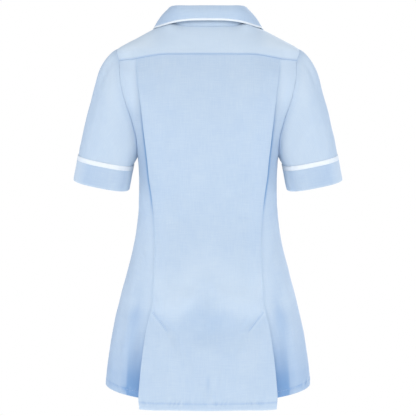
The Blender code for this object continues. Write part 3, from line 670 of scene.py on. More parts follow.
def normals_of(grid, tube, sign):
    """Direction out of a grid at each point, by its neighbours; sign picks the side that is out."""
    if tube:
        onward = np.roll(grid, -1, axis=1) - np.roll(grid, 1, axis=1)
    else:
        onward = np.gradient(grid, axis=1)
    return unit(np.cross(onward, np.gradient(grid, axis=0))) * sign


def linear(code):
    """Linear colour from an sRGB hex code."""
    parts = np.array([int(code[i:i + 2], 16) for i in (1, 3, 5)]) / 255
    parts = np.where(parts <= 0.04045, parts / 12.92, ((parts + 0.055) / 1.055) ** 2.4)
    return (*parts.tolist(), 1.0)


def set_inputs(node, inputs):
    """Give a node's inputs their values, or link them to other nodes or their outputs."""
    for name, value in inputs.items():
        if isinstance(value, bpy.types.Node):
            value = value.outputs[0]
        if isinstance(value, bpy.types.NodeSocket):
            node.id_data.links.new(value, node.inputs[name])
        else:
            node.inputs[name].default_value = value


def add_node(tree, kind, inputs=None, **settings):
    """One shader node with its settings and its inputs."""
    node = tree.nodes.new("ShaderNode" + kind)
    for name, value in settings.items():
        setattr(node, name, value)
    set_inputs(node, inputs or {})
    return node


def new_material(name):
    """Empty node material with its shader, which later settings complete."""
    material = bpy.data.materials.new(name)
    material.use_nodes = True
    return material, material.node_tree, material.node_tree.nodes["Principled BSDF"]


Finish = namedtuple("Finish", "material slot")


def woven(name, slot, colours, pitch, depth, twill=0.0):
    """Woven cloth: threads at a pitch, slubs along both threads and faint mottling.

    The attribute that it reads turns it pale above 0, for rubbed edges and painted light, and to
    the deep colour below 0, for painted shade in folds, seams and recesses.
    """
    colour, shade, pale, deep = (linear(code) for code in colours)
    material, tree, shader = new_material(name)
    place = add_node(tree, "UVMap", uv_map="cloth")
    turns = add_node(tree, "VectorMath", {0: place, 1: (2 * np.pi / pitch,) * 3}, operation="MULTIPLY")
    split = add_node(tree, "SeparateXYZ", {0: turns})
    down = split.outputs[1]
    lean = add_node(tree, "Math", {0: down, 1: twill, 2: split}, operation="MULTIPLY_ADD")
    warp = add_node(tree, "Math", {0: lean}, operation="SINE")
    weft = add_node(tree, "Math", {0: down}, operation="SINE")
    threads = add_node(tree, "Math", {0: warp, 1: weft}, operation="MULTIPLY")
    # Slubs are about 29 mm long and 2 mm wide: 34 and 480 to the metre
    slubs = []
    for stretch in ((34, 480, 1), (480, 34, 1)):
        scaled = add_node(tree, "VectorMath", {0: place, 1: stretch}, operation="MULTIPLY")
        slubs.append(add_node(tree, "TexNoise", {"Vector": scaled, "Scale": 1.0, "Detail": 2.0}))
    slub = add_node(tree, "Math", {0: slubs[0], 1: slubs[1]}, operation="ADD")
    # Mottling of about 45 mm: 22 to the metre
    body = add_node(tree, "TexCoord").outputs["Object"]
    cloud = add_node(tree, "TexNoise", {"Vector": body, "Scale": 22.0, "Detail": 3.0, "Roughness": 0.6})
    mixed = add_node(tree, "Math", {0: cloud, 1: 0.9, 2: slub}, operation="MULTIPLY_ADD")
    tone = add_node(tree, "MapRange", {"Value": mixed, "From Min": 1.00, "From Max": 1.90})
    base = add_node(tree, "Mix", {0: tone, 6: shade, 7: colour}, data_type="RGBA")
    # Painted light and shade: above 0 the attribute mixes in the pale colour, for rubbed edges and painted
    # light; below 0 the deep colour, for painted shade
    wear_and_painted_light = add_node(tree, "Attribute", attribute_name="wear_and_painted_light").outputs["Fac"]
    rubbed_and_painted_light = add_node(tree, "MapRange", {"Value": wear_and_painted_light})
    painted_shade_share = add_node(tree, "MapRange", {"Value": wear_and_painted_light, "From Max": -1.0})
    painted_shade_mix = add_node(tree, "Mix", {0: painted_shade_share, 6: base.outputs[2], 7: deep}, data_type="RGBA")
    tone_with_painted_light = add_node(tree, "Mix", {0: rubbed_and_painted_light, 6: painted_shade_mix.outputs[2], 7: pale}, data_type="RGBA")
    dull = add_node(tree, "MapRange", {"Value": slub, "To Min": 0.74, "To Max": 0.90})
    relief = add_node(tree, "Math", {0: slub, 1: 0.8, 2: threads}, operation="MULTIPLY_ADD")
    bump = add_node(tree, "Bump", {"Strength": 0.6, "Distance": depth, "Height": relief})
    set_inputs(shader, {
        "Base Color": tone_with_painted_light.outputs[2], "Roughness": dull, "Normal": bump, "Specular IOR Level": 0.25,
        "Sheen Weight": 0.12, "Sheen Roughness": 0.45, "Sheen Tint": linear("#e6eefa")})
    return Finish(material, slot)


def spun_thread(name, slot, colour, shade):
    """Spun polyester thread: fine plies twisted round each stitch, a little glossier than the cloth."""
    material, tree, shader = new_material(name)
    place = add_node(tree, "TexCoord").outputs["Object"]
    # Plies of 0.7 mm: 1400 to the metre
    plies = add_node(tree, "TexNoise", {"Vector": place, "Scale": 1400.0, "Detail": 1.0})
    base = add_node(tree, "Mix", {0: plies, 6: linear(shade), 7: linear(colour)}, data_type="RGBA")
    bump = add_node(tree, "Bump", {"Strength": 0.5, "Distance": 0.00005, "Height": plies})
    set_inputs(shader, {"Base Color": base.outputs[2], "Normal": bump, "Roughness": 0.55,
                        "Specular IOR Level": 0.4})
    return Finish(material, slot)


def moulded_resin(name, slot, colour, shade):
    """Moulded polyester button resin: faint pearly swirls under a smooth, softly glossy skin."""
    material, tree, shader = new_material(name)
    place = add_node(tree, "TexCoord").outputs["Object"]
    # Swirls of 4 mm and scuffs of 1 mm: 260 and 900 to the metre
    swirl = add_node(tree, "TexNoise", {"Vector": place, "Scale": 260.0, "Detail": 4.0, "Distortion": 1.6})
    base = add_node(tree, "Mix", {0: swirl, 6: linear(shade), 7: linear(colour)}, data_type="RGBA")
    scuff = add_node(tree, "TexNoise", {"Vector": place, "Scale": 900.0, "Detail": 3.0})
    gloss = add_node(tree, "MapRange", {"Value": scuff, "To Min": 0.20, "To Max": 0.36})
    set_inputs(shader, {"Base Color": base.outputs[2], "Roughness": gloss, "IOR": 1.55,
                        "Coat Weight": 0.25, "Coat Roughness": 0.12})
    return Finish(material, slot)


# Polycotton poplin, 195 g: matt, with a faint sheen across the light. Its real threads are
# 0.3 mm apart, too fine to show, so they are drawn 0.9 mm apart
# Its pale colour is for rubbed edges and painted light, and its deep colour for painted shade
POPLIN = woven("woven_polycotton_poplin", "blue_polycotton", ("#c5d5e5", "#b9cce1", "#d8e5f0", "#82a6d0"),
               pitch=0.0018, depth=0.00006)
# White polycotton twill tape and piping: clean and slightly ribbed on the slant
TAPE = woven("white_twill_tape", "white_trim", ("#f3f7fa", "#eaf0f5", "#fafcfd", "#d5dfe8"),
             pitch=0.0016, depth=0.00008, twill=0.7)
# Spun polyester thread: it lies on the cloth as fine, slightly brighter grains
BLUE_THREAD = spun_thread("blue_polyester_thread", "blue_polycotton", "#cfdff3", "#b4c9e6")
WHITE_THREAD = spun_thread("white_polyester_thread", "white_trim", "#f6f9fb", "#e2e9ef")
# Moulded polyester: small bright reflections on the rims, with a little depth in the colour
RESIN = moulded_resin("moulded_polyester_resin", "blue_button", "#bfd2ec", "#9fb8dc")


def dress(piece, slot, *nodes):
    """Hang a finished piece on the root, and hide the parts of model.glb that it stands for."""
    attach(piece, "root")
    if nodes:
        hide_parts(*nodes)
    return piece


def mesh_piece(name, points, faces, finish, nodes=(), uv=None):
    """Smooth-shaded piece from lists of points and faces, with its finish and its nodes."""
    mesh = bpy.data.meshes.new(name)
    mesh.from_pydata(points, [], faces)
    if uv is not None:
        mesh.uv_layers.new(name="cloth").data.foreach_set("uv", uv.ravel())
    mesh.materials.append(finish.material)
    mesh.shade_smooth()
    piece = bpy.data.objects.new(name, mesh)
    bpy.context.scene.collection.objects.link(piece)
    return dress(piece, finish.slot, *nodes)


def cells(grid):
    """Four corners of each cell of a grid of indices."""
    corners = (grid[:-1, :-1], grid[:-1, 1:], grid[1:, 1:], grid[1:, :-1])
    return np.stack(corners, axis=-1).reshape(-1, 4)


def rims(grid, tube):
    """Lines of indices round a grid's edge, in the order in which its cells turn."""
    if tube:
        return [grid[0], grid[-1, ::-1]]
    return [np.concatenate((grid[0], grid[1:, -1], grid[-1, -2::-1], grid[-2::-1, 0]))]


Cloth = namedtuple("Cloth", "name piece outer normal tube")


def shell(name, middle, finish=POPLIN, thick=SHEET, sign=1, tube=False, wear_and_painted_light=0.0, relief=0.0,
          inside=0.0):
    """Thin closed sheet of cloth about a grid, with rounded edges and a UV map in metres.

    relief moves the whole cloth out, inside adds thickness on its inner side, and the tone, with
    its painted light and shade, is kept as an attribute for the finish.
    """
    rows, columns = middle.shape[:2]
    wear_and_painted_light, relief, inside = (np.broadcast_to(part, (rows, columns)) for part in (wear_and_painted_light, relief, inside))
    middle = middle + normals_of(middle, tube, sign) * relief[..., None]
    normal = normals_of(middle, tube, sign)
    outer = middle + normal * thick / 2
    inner = middle - normal * (thick / 2 + inside[..., None])
    count = rows * columns
    vertex, wide = np.arange(count).reshape(rows, columns), middle
    if tube:
        vertex, wide = closed(vertex), closed(middle)
    corner = np.arange(vertex.size).reshape(vertex.shape)
    u, v = reach_from(wide, "left"), reach_from(wide, "top")
    uv = np.stack((u - u[:, u.shape[1] // 2][:, None], -v), axis=-1).reshape(-1, 2)
    faces = [cells(vertex), cells(vertex + count)[:, ::-1]]
    corners = [cells(corner), cells(corner)[:, ::-1]]
    points, tone_with_painted_light = [outer.reshape(-1, 3), inner.reshape(-1, 3)], [wear_and_painted_light.ravel(), np.zeros(count)]
    start = 2 * count
    for line, mark in zip(rims(vertex, tube), rims(corner, tube)):
        ring = line[:-1]
        r, c = ring // columns, ring % columns
        c_in = c if tube else np.clip(c, 1, columns - 2)
        away = unit(middle[r, c] - middle[np.clip(r, 1, rows - 2), c_in])
        points.append((outer[r, c] + inner[r, c]) / 2 + away * thick * ROUNDED_EDGE)
        tone_with_painted_light.append(tone_with_painted_light[0][ring])
        edge = np.append(start + np.arange(len(ring)), start)
        start += len(ring)
        for near, far in ((line, edge), (edge, line + count)):
            faces.append(np.column_stack((near[1:], near[:-1], far[:-1], far[1:])))
            corners.append(np.column_stack((mark[1:], mark[:-1], mark[:-1], mark[1:])))
    faces, corners = np.vstack(faces)[:, ::sign], np.vstack(corners)[:, ::sign]
    piece = mesh_piece(f"{name}_cloth", np.vstack(points).tolist(), faces.tolist(), finish, [name],
                       uv[corners.ravel()])
    # Painted light and shade, with some rubbed edges, kept at each point for the finish
    attribute = piece.data.attributes.new("wear_and_painted_light", "FLOAT", "POINT")
    attribute.data.foreach_set("value", np.concatenate(tone_with_painted_light))
    return Cloth(name, piece, outer, normal, tube)


def sample(cloth, row, column):
    """Outside point and direction of a cloth at fractional rows and columns of its grid."""
    rows, columns = cloth.outer.shape[:2]
    row = np.clip(row, 0, rows - 1.001)
    column = np.mod(column, columns) if cloth.tube else np.clip(column, 0, columns - 1.001)
    r, c = np.floor(row).astype(int), np.floor(column).astype(int)
    a, b = (row - r)[:, None], (column - c)[:, None]
    n = (c + 1) % columns
    found = [grid[r, c] * (1 - a) * (1 - b) + grid[r, n] * (1 - a) * b
             + grid[r + 1, c] * a * (1 - b) + grid[r + 1, n] * a * b
             for grid in (cloth.outer, cloth.normal)]
    return found[0], unit(found[1])


def beside(cloth, edge, distance, start=0.0, end=1.0):
    """Line on a cloth's outside, a distance in from one of its edges, between two shares of it."""
    reach = reach_from(cloth.outer, edge)
    level = edge in ("top", "bottom")
    if not level:
        reach = reach.T
    count = reach.shape[1]
    index = np.arange(reach.shape[0])
    order = slice(None) if edge in ("top", "left") else slice(None, None, -1)
    away = np.array([np.interp(distance, reach[order, i], index[order]) for i in range(count)])
    along = np.arange(count, dtype=float)
    keep = (along >= start * (count - 1)) & (along <= end * (count - 1))
    if level:
        return sample(cloth, away[keep], along[keep])
    return sample(cloth, along[keep], away[keep])


def ready(piece=None):
    """Deselect everything but one piece, so that the next operator acts on that one alone."""
    if bpy.context.object and bpy.context.object.mode != "OBJECT":
        bpy.ops.object.mode_set(mode="OBJECT")
    bpy.ops.object.select_all(action="DESELECT")
    if piece:
        piece.select_set(True)
        bpy.context.view_layer.objects.active = piece


def stitch_shape():
    """One stitch of thread as points and faces: a small grain along X, 1 long, 1 wide and 1 high."""
    ready()
    bpy.ops.mesh.primitive_uv_sphere_add(segments=6, ring_count=5, radius=0.5)
    grain = bpy.context.object
    bpy.ops.object.mode_set(mode="EDIT")
    bpy.ops.mesh.select_all(action="SELECT")
    bpy.ops.transform.rotate(value=np.pi / 2, orient_axis="Y", center_override=(0, 0, 0))
    bpy.ops.object.mode_set(mode="OBJECT")
    points = np.array([vertex.co[:] for vertex in grain.data.vertices])
    faces = [list(face.vertices) for face in grain.data.polygons]
    bpy.data.objects.remove(grain)
    return points, faces


STITCH_POINTS, STITCH_FACES = stitch_shape()


def run_stitches(line, pitch=STITCH_PITCH, length=STITCH_LENGTH, thread=THREAD, across=False):
    """Places, directions and sizes of stitches along a line; across turns each one square to it."""
    points, normals = line
    steps = np.linalg.norm(np.diff(points, axis=0), axis=-1)
    reach, index = np.concatenate(([0], np.cumsum(steps))), np.arange(len(points))
    place = np.interp(np.arange(pitch / 2, reach[-1], pitch), reach, index)
    spot, up, ahead = (np.column_stack([np.interp(place, index, column) for column in part.T])
                       for part in (points, normals, np.gradient(points, axis=0)))
    up, ahead = unit(up), unit(ahead)
    aside = unit(np.cross(up, ahead))
    if across:
        ahead, aside = aside, -ahead
    size = np.tile((length, thread, thread), (len(spot), 1))
    return spot + up * thread * STITCH_PROUD, ahead, aside, up, size


def sew(name, runs, finish):
    """All stitches of one panel in one mesh."""
    spot, ahead, aside, up, size = (np.vstack(part)[:, None] for part in zip(*runs))
    grain = STITCH_POINTS
    points = (spot + ahead * grain[:, :1] * size[..., :1] + aside * grain[:, 1:2] * size[..., 1:2]
              + up * grain[:, 2:] * size[..., 2:])
    faces = [[i + k * len(grain) for i in face] for k in range(len(spot)) for face in STITCH_FACES]
    return mesh_piece(name, points.reshape(-1, 3).tolist(), faces, finish)


def declare(cloth, with_pieces=()):
    """Area of a piece's cloth, by the size of its cut, which is worked out and then not used."""
    wide = closed(cloth.outer) if cloth.tube else cloth.outer
    a, b, c, d = wide[:-1, :-1], wide[:-1, 1:], wide[1:, 1:], wide[1:, :-1]
    halves = (np.cross(b - a, c - a), np.cross(c - a, d - a))
    area = sum(np.linalg.norm(half, axis=-1) for half in halves).sum() / 2
    width, length = reach_from(wide, "left").max(), reach_from(wide, "top").max()
    area = float(min(max(area, 0.3 * width * length), width * length))


def finish_off(cloth, edges=(), runs=(), also=()):
    lines = [run_stitches(beside(cloth, *edge)) for edge in edges] + list(runs)
    thread = sew(f"{cloth.name}_stitches", lines, BLUE_THREAD)
    declare(cloth, [*also, thread])


def kick_open(level):
    """How far the lower pleats have opened, 0 at their top and 1 at the hem."""
    return ease(level, KICK_LEVEL, CENTRE_BACK_HEM)


def side_dip(across, level):
    """How far a side back panel lies below the form beside its pleat."""
    beyond = np.abs(across) - fold_at(level)
    kick = KICK_DIP * kick_open(level) * np.clip(1 - beyond / KICK_DIP_TO, 0, 1) ** KICK_DIP_BEND
    return kick + ACTION_DIP * swell(level, ACTION_LEVEL, ACTION_SPAN) * ease(beyond, ACTION_DIP_TO, 0)


def centre_lift(across, level):
    """How far the centre back panel's face lies above the form."""
    beyond = np.abs(across) - fold_at(level)
    pressed = between(STACK_AT_YOKE, 1, ease(yoke_seam(across) - level, 0.004, 0.040))
    stack = PLEAT_STACK * ease(beyond, STACK_FROM, STACK_TO) * pressed
    rise = between(KICK_CENTRE_LIFT, KICK_LIFT, ease(beyond, KICK_LIFT_FROM, 0))
    action = ACTION_LIFT * swell(level, ACTION_LEVEL, ACTION_SPAN) * ease(beyond, ACTION_LIFT_FROM, 0)
    return stack + rise * kick_open(level) + action


def neckline(share):
    """Angle and level of the back neck seam, from the centre back (0) to the shoulder seam (1)."""
    level = NECK_SIDE_LEVEL * np.abs(share) ** NECK_CURVE
    across = NECK_SIDE_ACROSS * np.sin(share * np.pi / 2)
    return turn_at(across, level), level


def make_yoke():
    """Back yoke: its lower edge is turned under and laps over the back panels."""
    row = edged(*YOKE_ROWS) * (SHOULDER_ROWS + YOKE_ARM_STEPS + YOKE_LAP_STEPS)
    arm_turn, arm_level = armhole(row - SHOULDER_ROWS, ARM_TURN_BACK)
    shoulder = between(NECK_SIDE_LEVEL, SHOULDER_TIP_LEVEL, row / SHOULDER_ROWS)
    side_level = np.where(row <= SHOULDER_ROWS, shoulder, arm_level)
    side_turn = np.minimum(np.where(row <= SHOULDER_ROWS, np.pi / 2, arm_turn), np.pi / 2 - SEAM_TURN)
    down = ((NECK_SIDE_LEVEL - side_level) / (NECK_SIDE_LEVEL - side_level[-1]))[:, None]
    across = edged(*YOKE_COLUMNS, -1, 1)
    neck_turn, neck_level = neckline(across)
    turn = side_turn[:, None] * between(neck_turn / (np.pi / 2), across, down)
    seam = yoke_seam(form(turn[-1], np.full(across.shape, side_level[-1]))[:, 0]) - YOKE_LAP
    level = between(neck_level, seam, down)
    place, above = form(turn, level)[..., 0], level - seam
    aside = np.abs(place)
    beyond = aside - fold_at(level)
    over_pleat = ease(beyond, STACK_FROM, STACK_TO) * ease(beyond, *STACK_PAST_FOLD)
    low, edge = ease(above, *YOKE_OVER_FADE), ease(above, *YOKE_TURNED_TO)
    lift = (PLEAT_STACK * STACK_AT_YOKE * over_pleat + YOKE_OVER) * low + TURNED * 0.5 * edge
    middle = form(turn, level, lift - SHEET / 2)
    relief = rumple(place, level, 1) * (1 - edge) + puckers("yoke", above - EDGE_LINE, place, 1)
    relief = relief + total(YOKE_RELIEF, aside=aside, level=level)
    # Painted light over the yoke and towards its ends, painted shade along its seams
    tone_with_painted_light = total(YOKE_TONES, above=above, top=reach_from(middle, "top"), aside=aside, level=level)
    cloth = shell("yoke", middle, wear_and_painted_light=tone_with_painted_light, relief=relief, inside=TURNED * edge)
    finish_off(cloth, [("bottom", EDGE_LINE), ("top", EDGE_LINE)])


def seat_fold(across, level):
    """Fold under the seat: how far it stands out, and its tone of painted highlight above and painted shade
    below.
    """
    aside = np.abs(across)
    below = total(SEAT_EDGE, aside=aside) + SEAT_WAVER * np.sin(across * 70) - level
    middle = ease(aside, SEAT_MIDDLE, 0.0)
    fold = SeatFold(*(between(*pair, middle) for pair in zip(SEAT_ASIDE, SEAT_CENTRE)))
    trough = fold.trough * swell(below, fold.trough_at, fold.trough_span)
    fade_to = fold.fade_to - total(SEAT_FADE_SHORTER, aside=aside)
    deep = ease(below, SEAT_DEEP_FROM, fold.deep_at) * ease(below, fade_to, fold.fade_from)
    return (total(SEAT_RELIEF, below=below, trough=trough),
            fold.pale * swell(below, *SEAT_PALE) - SEAT_DEEP * deep)


def tack_shade(across, level):
    """Painted highlight and shade along the two slanting tacks, and a short deeper mark on the centre line.
    """
    along, off = from_line(np.abs(across), level, *TACK_MARK)
    return total(TACK_TONES, along=along, off=off, aside=np.abs(across), level=level)


def pleat_section(level, relief):
    """Middle line of the centre back panel at a level: across and height above the form."""
    fold = fold_at(level) - FOLD_RADIUS - SHEET / 2
    flat = FACE_SHARES * fold
    face = np.column_stack((flat, centre_lift(flat, level) - SHEET / 2 + relief))
    centre = centre_lift(fold, level) - SHEET / 2 - FOLD_RADIUS
    root = fold - PLEAT_RETURN
    root_lift = LAYER_GAP + SHEET / 2 - side_dip(root, level)
    sides = []
    for end in (centre + relief[0], centre + relief[-1]):
        bend = np.column_stack((np.cos(FOLD_ANGLES), np.sin(FOLD_ANGLES))) * FOLD_RADIUS + (fold, end)
        rise = end - FOLD_RADIUS - root_lift
        under = np.column_stack((root + PLEAT_RETURN * UNDER_SHARES, root_lift + rise * UNDER_SHARES))
        sides.append(np.vstack((under, bend)))
    return np.vstack((sides[0] * (-1, 1), face, sides[1][::-1]))


def on_face(cloth, across, level):
    """Points of the centre back's face at distances across and levels."""
    top = yoke_seam(FOLDS[0].across)
    shares = edged(*CENTRE_ROWS)
    wide = across / (fold_at(level) - FOLD_RADIUS - SHEET / 2)
    column = FACE_START + (wide + 1) / 2 * (len(FACE_SHARES) - 1)
    down = (level - top) / (CENTRE_BACK_HEM - top)
    return sample(cloth, np.interp(down, shares, np.arange(len(shares))), column)


def make_back_centre():
    """Centre back: its face, a rolled fold on each side and the cloth that returns under it."""
    seam_level = yoke_seam(FOLDS[0].across)
    outline = []
    for share in edged(*CENTRE_ROWS):
        level = between(seam_level, CENTRE_BACK_HEM, share)
        flat = FACE_SHARES * fold_at(level)
        inside = fold_at(level) - np.abs(flat)
        stitched = (ease(level, STITCHED_FROM + 0.02, STITCHED_FROM - 0.01)
                    * ease(level, KICK_LEVEL - 0.02, KICK_LEVEL))
        relief = creased(BACK_CREASES, flat, level) + rumple(flat, level, 2) + seat_fold(flat, level)[0]
        relief = relief * ease(inside, 0, FLAT_BY_EDGE) * ease(seam_level - level, *FLAT_BY_YOKE)
        by_pleat = puckers("pleat", inside - PLEAT_LINE, level + np.sign(flat) * PLEAT_PUCKER_SHIFT, 3)
        relief = relief + stitched * by_pleat
        relief = relief + puckers("centre_hem", level - CENTRE_BACK_HEM - HEM_LINE, flat, 4)
        across, lift = pleat_section(level, relief).T
        row_level = between(yoke_seam(across) - SEAM, CENTRE_BACK_HEM, share)
        outline.append(form(turn_at(across, row_level), row_level, lift))
    middle = np.array(outline)
    low, across, level = reach_from(middle, "bottom"), middle[..., 0], middle[..., 2]
    # Tones: painted shade at the hem's stitches, the yoke seam, under the seat and along the tacks; painted
    # highlight above the seat fold and beside the tacks; flecks of painted highlight and shade beside the
    # hem's puckers; and a paler hem edge, part rubbed and part painted highlight
    tone_with_painted_light = total(CENTRE_TONES, low=low, top=reach_from(middle, "top")) + seat_fold(across, level)[1]
    tone_with_painted_light = tone_with_painted_light + puckers("centre_hem_flecks", low - HEM_LINE, across, 4) + tack_shade(across, level)
    cloth = shell("back_centre", middle, wear_and_painted_light=tone_with_painted_light, inside=TURNED * ease(low, HEM_LINE + HEM_STEP, HEM_LINE))
    pleat_level = np.linspace(STITCHED_FROM, KICK_LEVEL, PLEAT_POINTS)
    tack_start = fold_at(KICK_LEVEL) - TACK_FROM_FOLD
    tack_across = np.linspace(tack_start, TACK_END[0], TACK_POINTS)
    tack_level = np.linspace(KICK_LEVEL - TACK_DROP, TACK_END[1], TACK_POINTS)
    lines = ((fold_at(pleat_level) - PLEAT_LINE, pleat_level), (tack_across, tack_level))
    runs = [run_stitches(on_face(cloth, side * across, level)) for side in (-1, 1)
            for across, level in lines]
    finish_off(cloth, [("bottom", HEM_LINE)], runs)


def panel_finish(middle, creases, seed, side, flecks):
    """Relief of a side back or a front, its tones, and the turned layer at its hem."""
    aside, level = np.abs(middle[..., 0]), middle[..., 2]
    low, out, top = (reach_from(middle, edge) for edge in ("bottom", "right", "top"))
    relief = creased(creases, aside * (1 + SIDE_STRETCH * side), level + SIDE_SHIFT * side)
    relief = relief + rumple(aside, level, seed + side * 0.3)
    relief = relief * ease(out, 0, FLAT_BY_EDGE) * ease(top, 0, FLAT_BY_EDGE)
    relief = relief + puckers("panel_hem", low - SIDE_HEM_LINE, aside, seed + side)
    relief = relief + puckers("side_seam", out - SEAM_PUCKER_LINE, level, seed + 2)
    # A paler hem edge, part rubbed and part painted highlight, painted shade at the hem's stitches, and
    # flecks of painted highlight and shade beside its puckers
    tone_with_painted_light = total(PANEL_TONES, low=low) + puckers(flecks, low - SIDE_HEM_LINE, aside, seed + side)
    return relief, tone_with_painted_light, TURNED * ease(low, SIDE_HEM_LINE + HEM_STEP, SIDE_HEM_LINE)


def make_side_back(side, word):
    """Side back panel, from under the pleat out to the armhole and the side seam."""
    arm_rows = ARM_STEPS - YOKE_ARM_STEPS
    row = edged(*SIDE_BACK_ROWS) * (arm_rows + SIDE_ROWS)
    arm_turn, arm_level = armhole(YOKE_ARM_STEPS + np.minimum(row, arm_rows), ARM_TURN_BACK)
    side_level = between(UNDERARM_LEVEL, SIDE_BACK_HEM, (row - arm_rows) / SIDE_ROWS)
    out_turn = np.minimum(np.where(row <= arm_rows, arm_turn, np.pi / 2), np.pi / 2 - SEAM_TURN)
    out_level = np.where(row <= arm_rows, arm_level, side_level)
    in_level = between(yoke_seam(FOLDS[0].across), UNDERLAY_HEM, row / row[-1])
    in_turn = turn_at(fold_at(in_level) - PLEAT_UNDERLAY, in_level)
    share = edged(*SIDE_BACK_COLUMNS)
    turn = between(in_turn[:, None], out_turn[:, None], share)
    level = between(out_level[:, None], in_level[:, None], (1 - share) ** UNDERLAY_FALL)
    level = level + SIDE_HEM_ARCH * np.sin(np.pi * share) * (row[:, None] / row[-1]) ** 2
    rise = yoke_seam(form(turn[0], level[0])[:, 0]) - SEAM - level[0]
    level = level + rise * ease(row, 1.0, 0)[:, None]
    lift = -side_dip(form(turn, level)[..., 0], level)
    middle = form(turn, level, lift - SHEET / 2) * (side, 1, 1)
    relief, tone_with_painted_light, turned = panel_finish(middle, SIDE_CREASES, 5, side, "side_back_flecks")
    level = middle[..., 2]
    beyond = np.abs(middle[..., 0]) - fold_at(level)
    # Painted shade beside the pleat's fold and in the opened pleat, and painted light and shade over the
    # rest of the panel
    fold_shade = total(FOLD_SHADE, level=level) * total(FOLD_SHADE_LEFT, level=level)
    fold_shade = fold_shade * swell(beyond, total(FOLD_SHADE_AT, level=level), FOLD_SHADE_WIDTH)
    tone_with_painted_light = tone_with_painted_light + total(SIDE_TONES, level=level, beyond=beyond, out=reach_from(middle, "right"),
                        top=reach_from(middle, "top"), fold_shade=fold_shade,
                        opened=kick_open(level) ** SHADE_OPENING)
    cloth = shell(f"side_back_{word}", middle, sign=side, wear_and_painted_light=tone_with_painted_light, inside=turned,
                  relief=relief * ease(beyond, 0, FOLD_NEAR_FLAT))
    finish_off(cloth, [("bottom", SIDE_HEM_LINE)])


def front_lift(side, across):
    """How far a front lies above the form: the wearer's right one crosses over the left one."""
    if side > 0:
        return np.zeros_like(across)
    return OVERLAP_LIFT * ease(across - OVERLAP, OVERLAP_SETTLED, OVERLAP_FLAT)


def front_hem(turn):
    """Level of the front hem, lowest at the centre front."""
    return between(SIDE_BACK_HEM, CENTRE_FRONT_HEM, np.cos(turn) ** 2)


def button_level(index):
    """Level of a button's middle."""
    return BUTTON_FIRST_LEVEL - BUTTON_SPACING * index


def buttonhole(index):
    """Close stitches round the level slot under a button."""
    angle = np.linspace(0, 2 * np.pi, 60)
    across = SLOT_AT + SLOT_HALF_LENGTH * fuller(np.cos(angle), 0.5)
    height = button_level(index) + SLOT_HALF_HEIGHT * np.sin(angle)
    points = form(np.pi + turn_at(across, height), height, OVERLAP_LIFT)
    return run_stitches((points, outward(points)), **SLOT_STITCH)


def make_front(side, word):
    """One front, from its roll line and front edge out to the shoulder, armhole and side seam."""
    row = edged(*FRONT_ROWS) * (ARM_STEPS + SIDE_ROWS)
    at_arm, below = row <= ARM_STEPS, (row - ARM_STEPS) / SIDE_ROWS
    arm_turn, arm_level = armhole(np.minimum(row, ARM_STEPS), ARM_TURN_FRONT)
    out_turn = np.maximum(np.where(at_arm, np.pi - arm_turn, np.pi / 2), np.pi / 2 + SEAM_TURN)
    out_level = np.where(at_arm, arm_level, between(UNDERARM_LEVEL, SIDE_BACK_HEM, below))
    in_level = np.where(at_arm, between(NECK_SIDE_LEVEL, UNDERARM_LEVEL, row / ARM_STEPS),
                        between(UNDERARM_LEVEL, CENTRE_FRONT_HEM, below))
    in_across = between(NECK_SIDE_ACROSS, -OVERLAP, np.minimum(row / BREAK_ROW, 1))
    in_turn = np.maximum(np.pi - turn_at(in_across, in_level), np.pi / 2 + SEAM_TURN)
    share = edged(*FRONT_COLUMNS)
    turn = between(in_turn[:, None], out_turn[:, None], share)
    level = between(in_level[:, None], out_level[:, None], share)
    level = level + (front_hem(turn[-1]) - level[-1]) * ease(row, row[-1] - 3, row[-1])[:, None]
    lift = front_lift(side, form(turn, level)[..., 0])
    middle = form(turn, level, lift - SHEET / 2) * (side, 1, 1)
    relief, tone_with_painted_light, turned = panel_finish(middle, FRONT_CREASES, 7, side, "front_flecks")
    relief = relief * between(0.25, 1, ease(reach_from(middle, "left"), 0.006, 0.035))
    aside, level = np.abs(middle[..., 0]), middle[..., 2]
    dart = ease(level, DART_TOP, DART_TOP - DART_FADE) * ease(level, DART_END, DART_END + DART_FADE)
    relief = relief - DART_DEPTH * dart * np.exp(-np.abs(aside - DART_ACROSS) / DART_WIDTH)
    cloth = shell(f"front_{word}", middle, sign=-side, wear_and_painted_light=tone_with_painted_light, relief=relief, inside=turned)
    edges, holes = [("bottom", SIDE_HEM_LINE)], []
    if side < 0:
        edges.append(("left", FRONT_EDGE_LINE, *FRONT_EDGE_SEWN))
        holes = [buttonhole(index) for index in range(BUTTON_COUNT)]
    finish_off(cloth, edges, holes)


def roll_line(share):
    """Across and level of the line where a front turns back, from the neck (0) to its end (1)."""
    end_level = between(NECK_SIDE_LEVEL, UNDERARM_LEVEL, BREAK_ROW / ARM_STEPS)
    return between(NECK_SIDE_ACROSS, -OVERLAP, share), between(NECK_SIDE_LEVEL, end_level, share)


def lapel_grid(side, down, share):
    """Across and level of a lapel's points, from its roll line to its outer edge."""
    end = LAPEL_END_LEFT if side > 0 else LAPEL_END_RIGHT
    roll_across, roll_level = roll_line(between(LAPEL_TOP, end, down))
    edge_across = between(LAPEL_TIP_ACROSS, roll_across[-1] + LAPEL_FOOT_WIDTH, down)
    edge_across = edge_across + LAPEL_EDGE_BOW * np.sin(np.pi * down)
    edge_level = between(LAPEL_TIP_LEVEL, roll_level[-1], down)
    return (between(roll_across[:, None], edge_across[:, None], share),
            between(roll_level[:, None], edge_level[:, None], share))


def on_front(side, across, level, lift):
    """Point on a front at a distance across and a level, moved out by lift."""
    turn = np.pi - turn_at(across, level)
    return form(turn, level, front_lift(side, across) + lift) * (side, 1, 1)


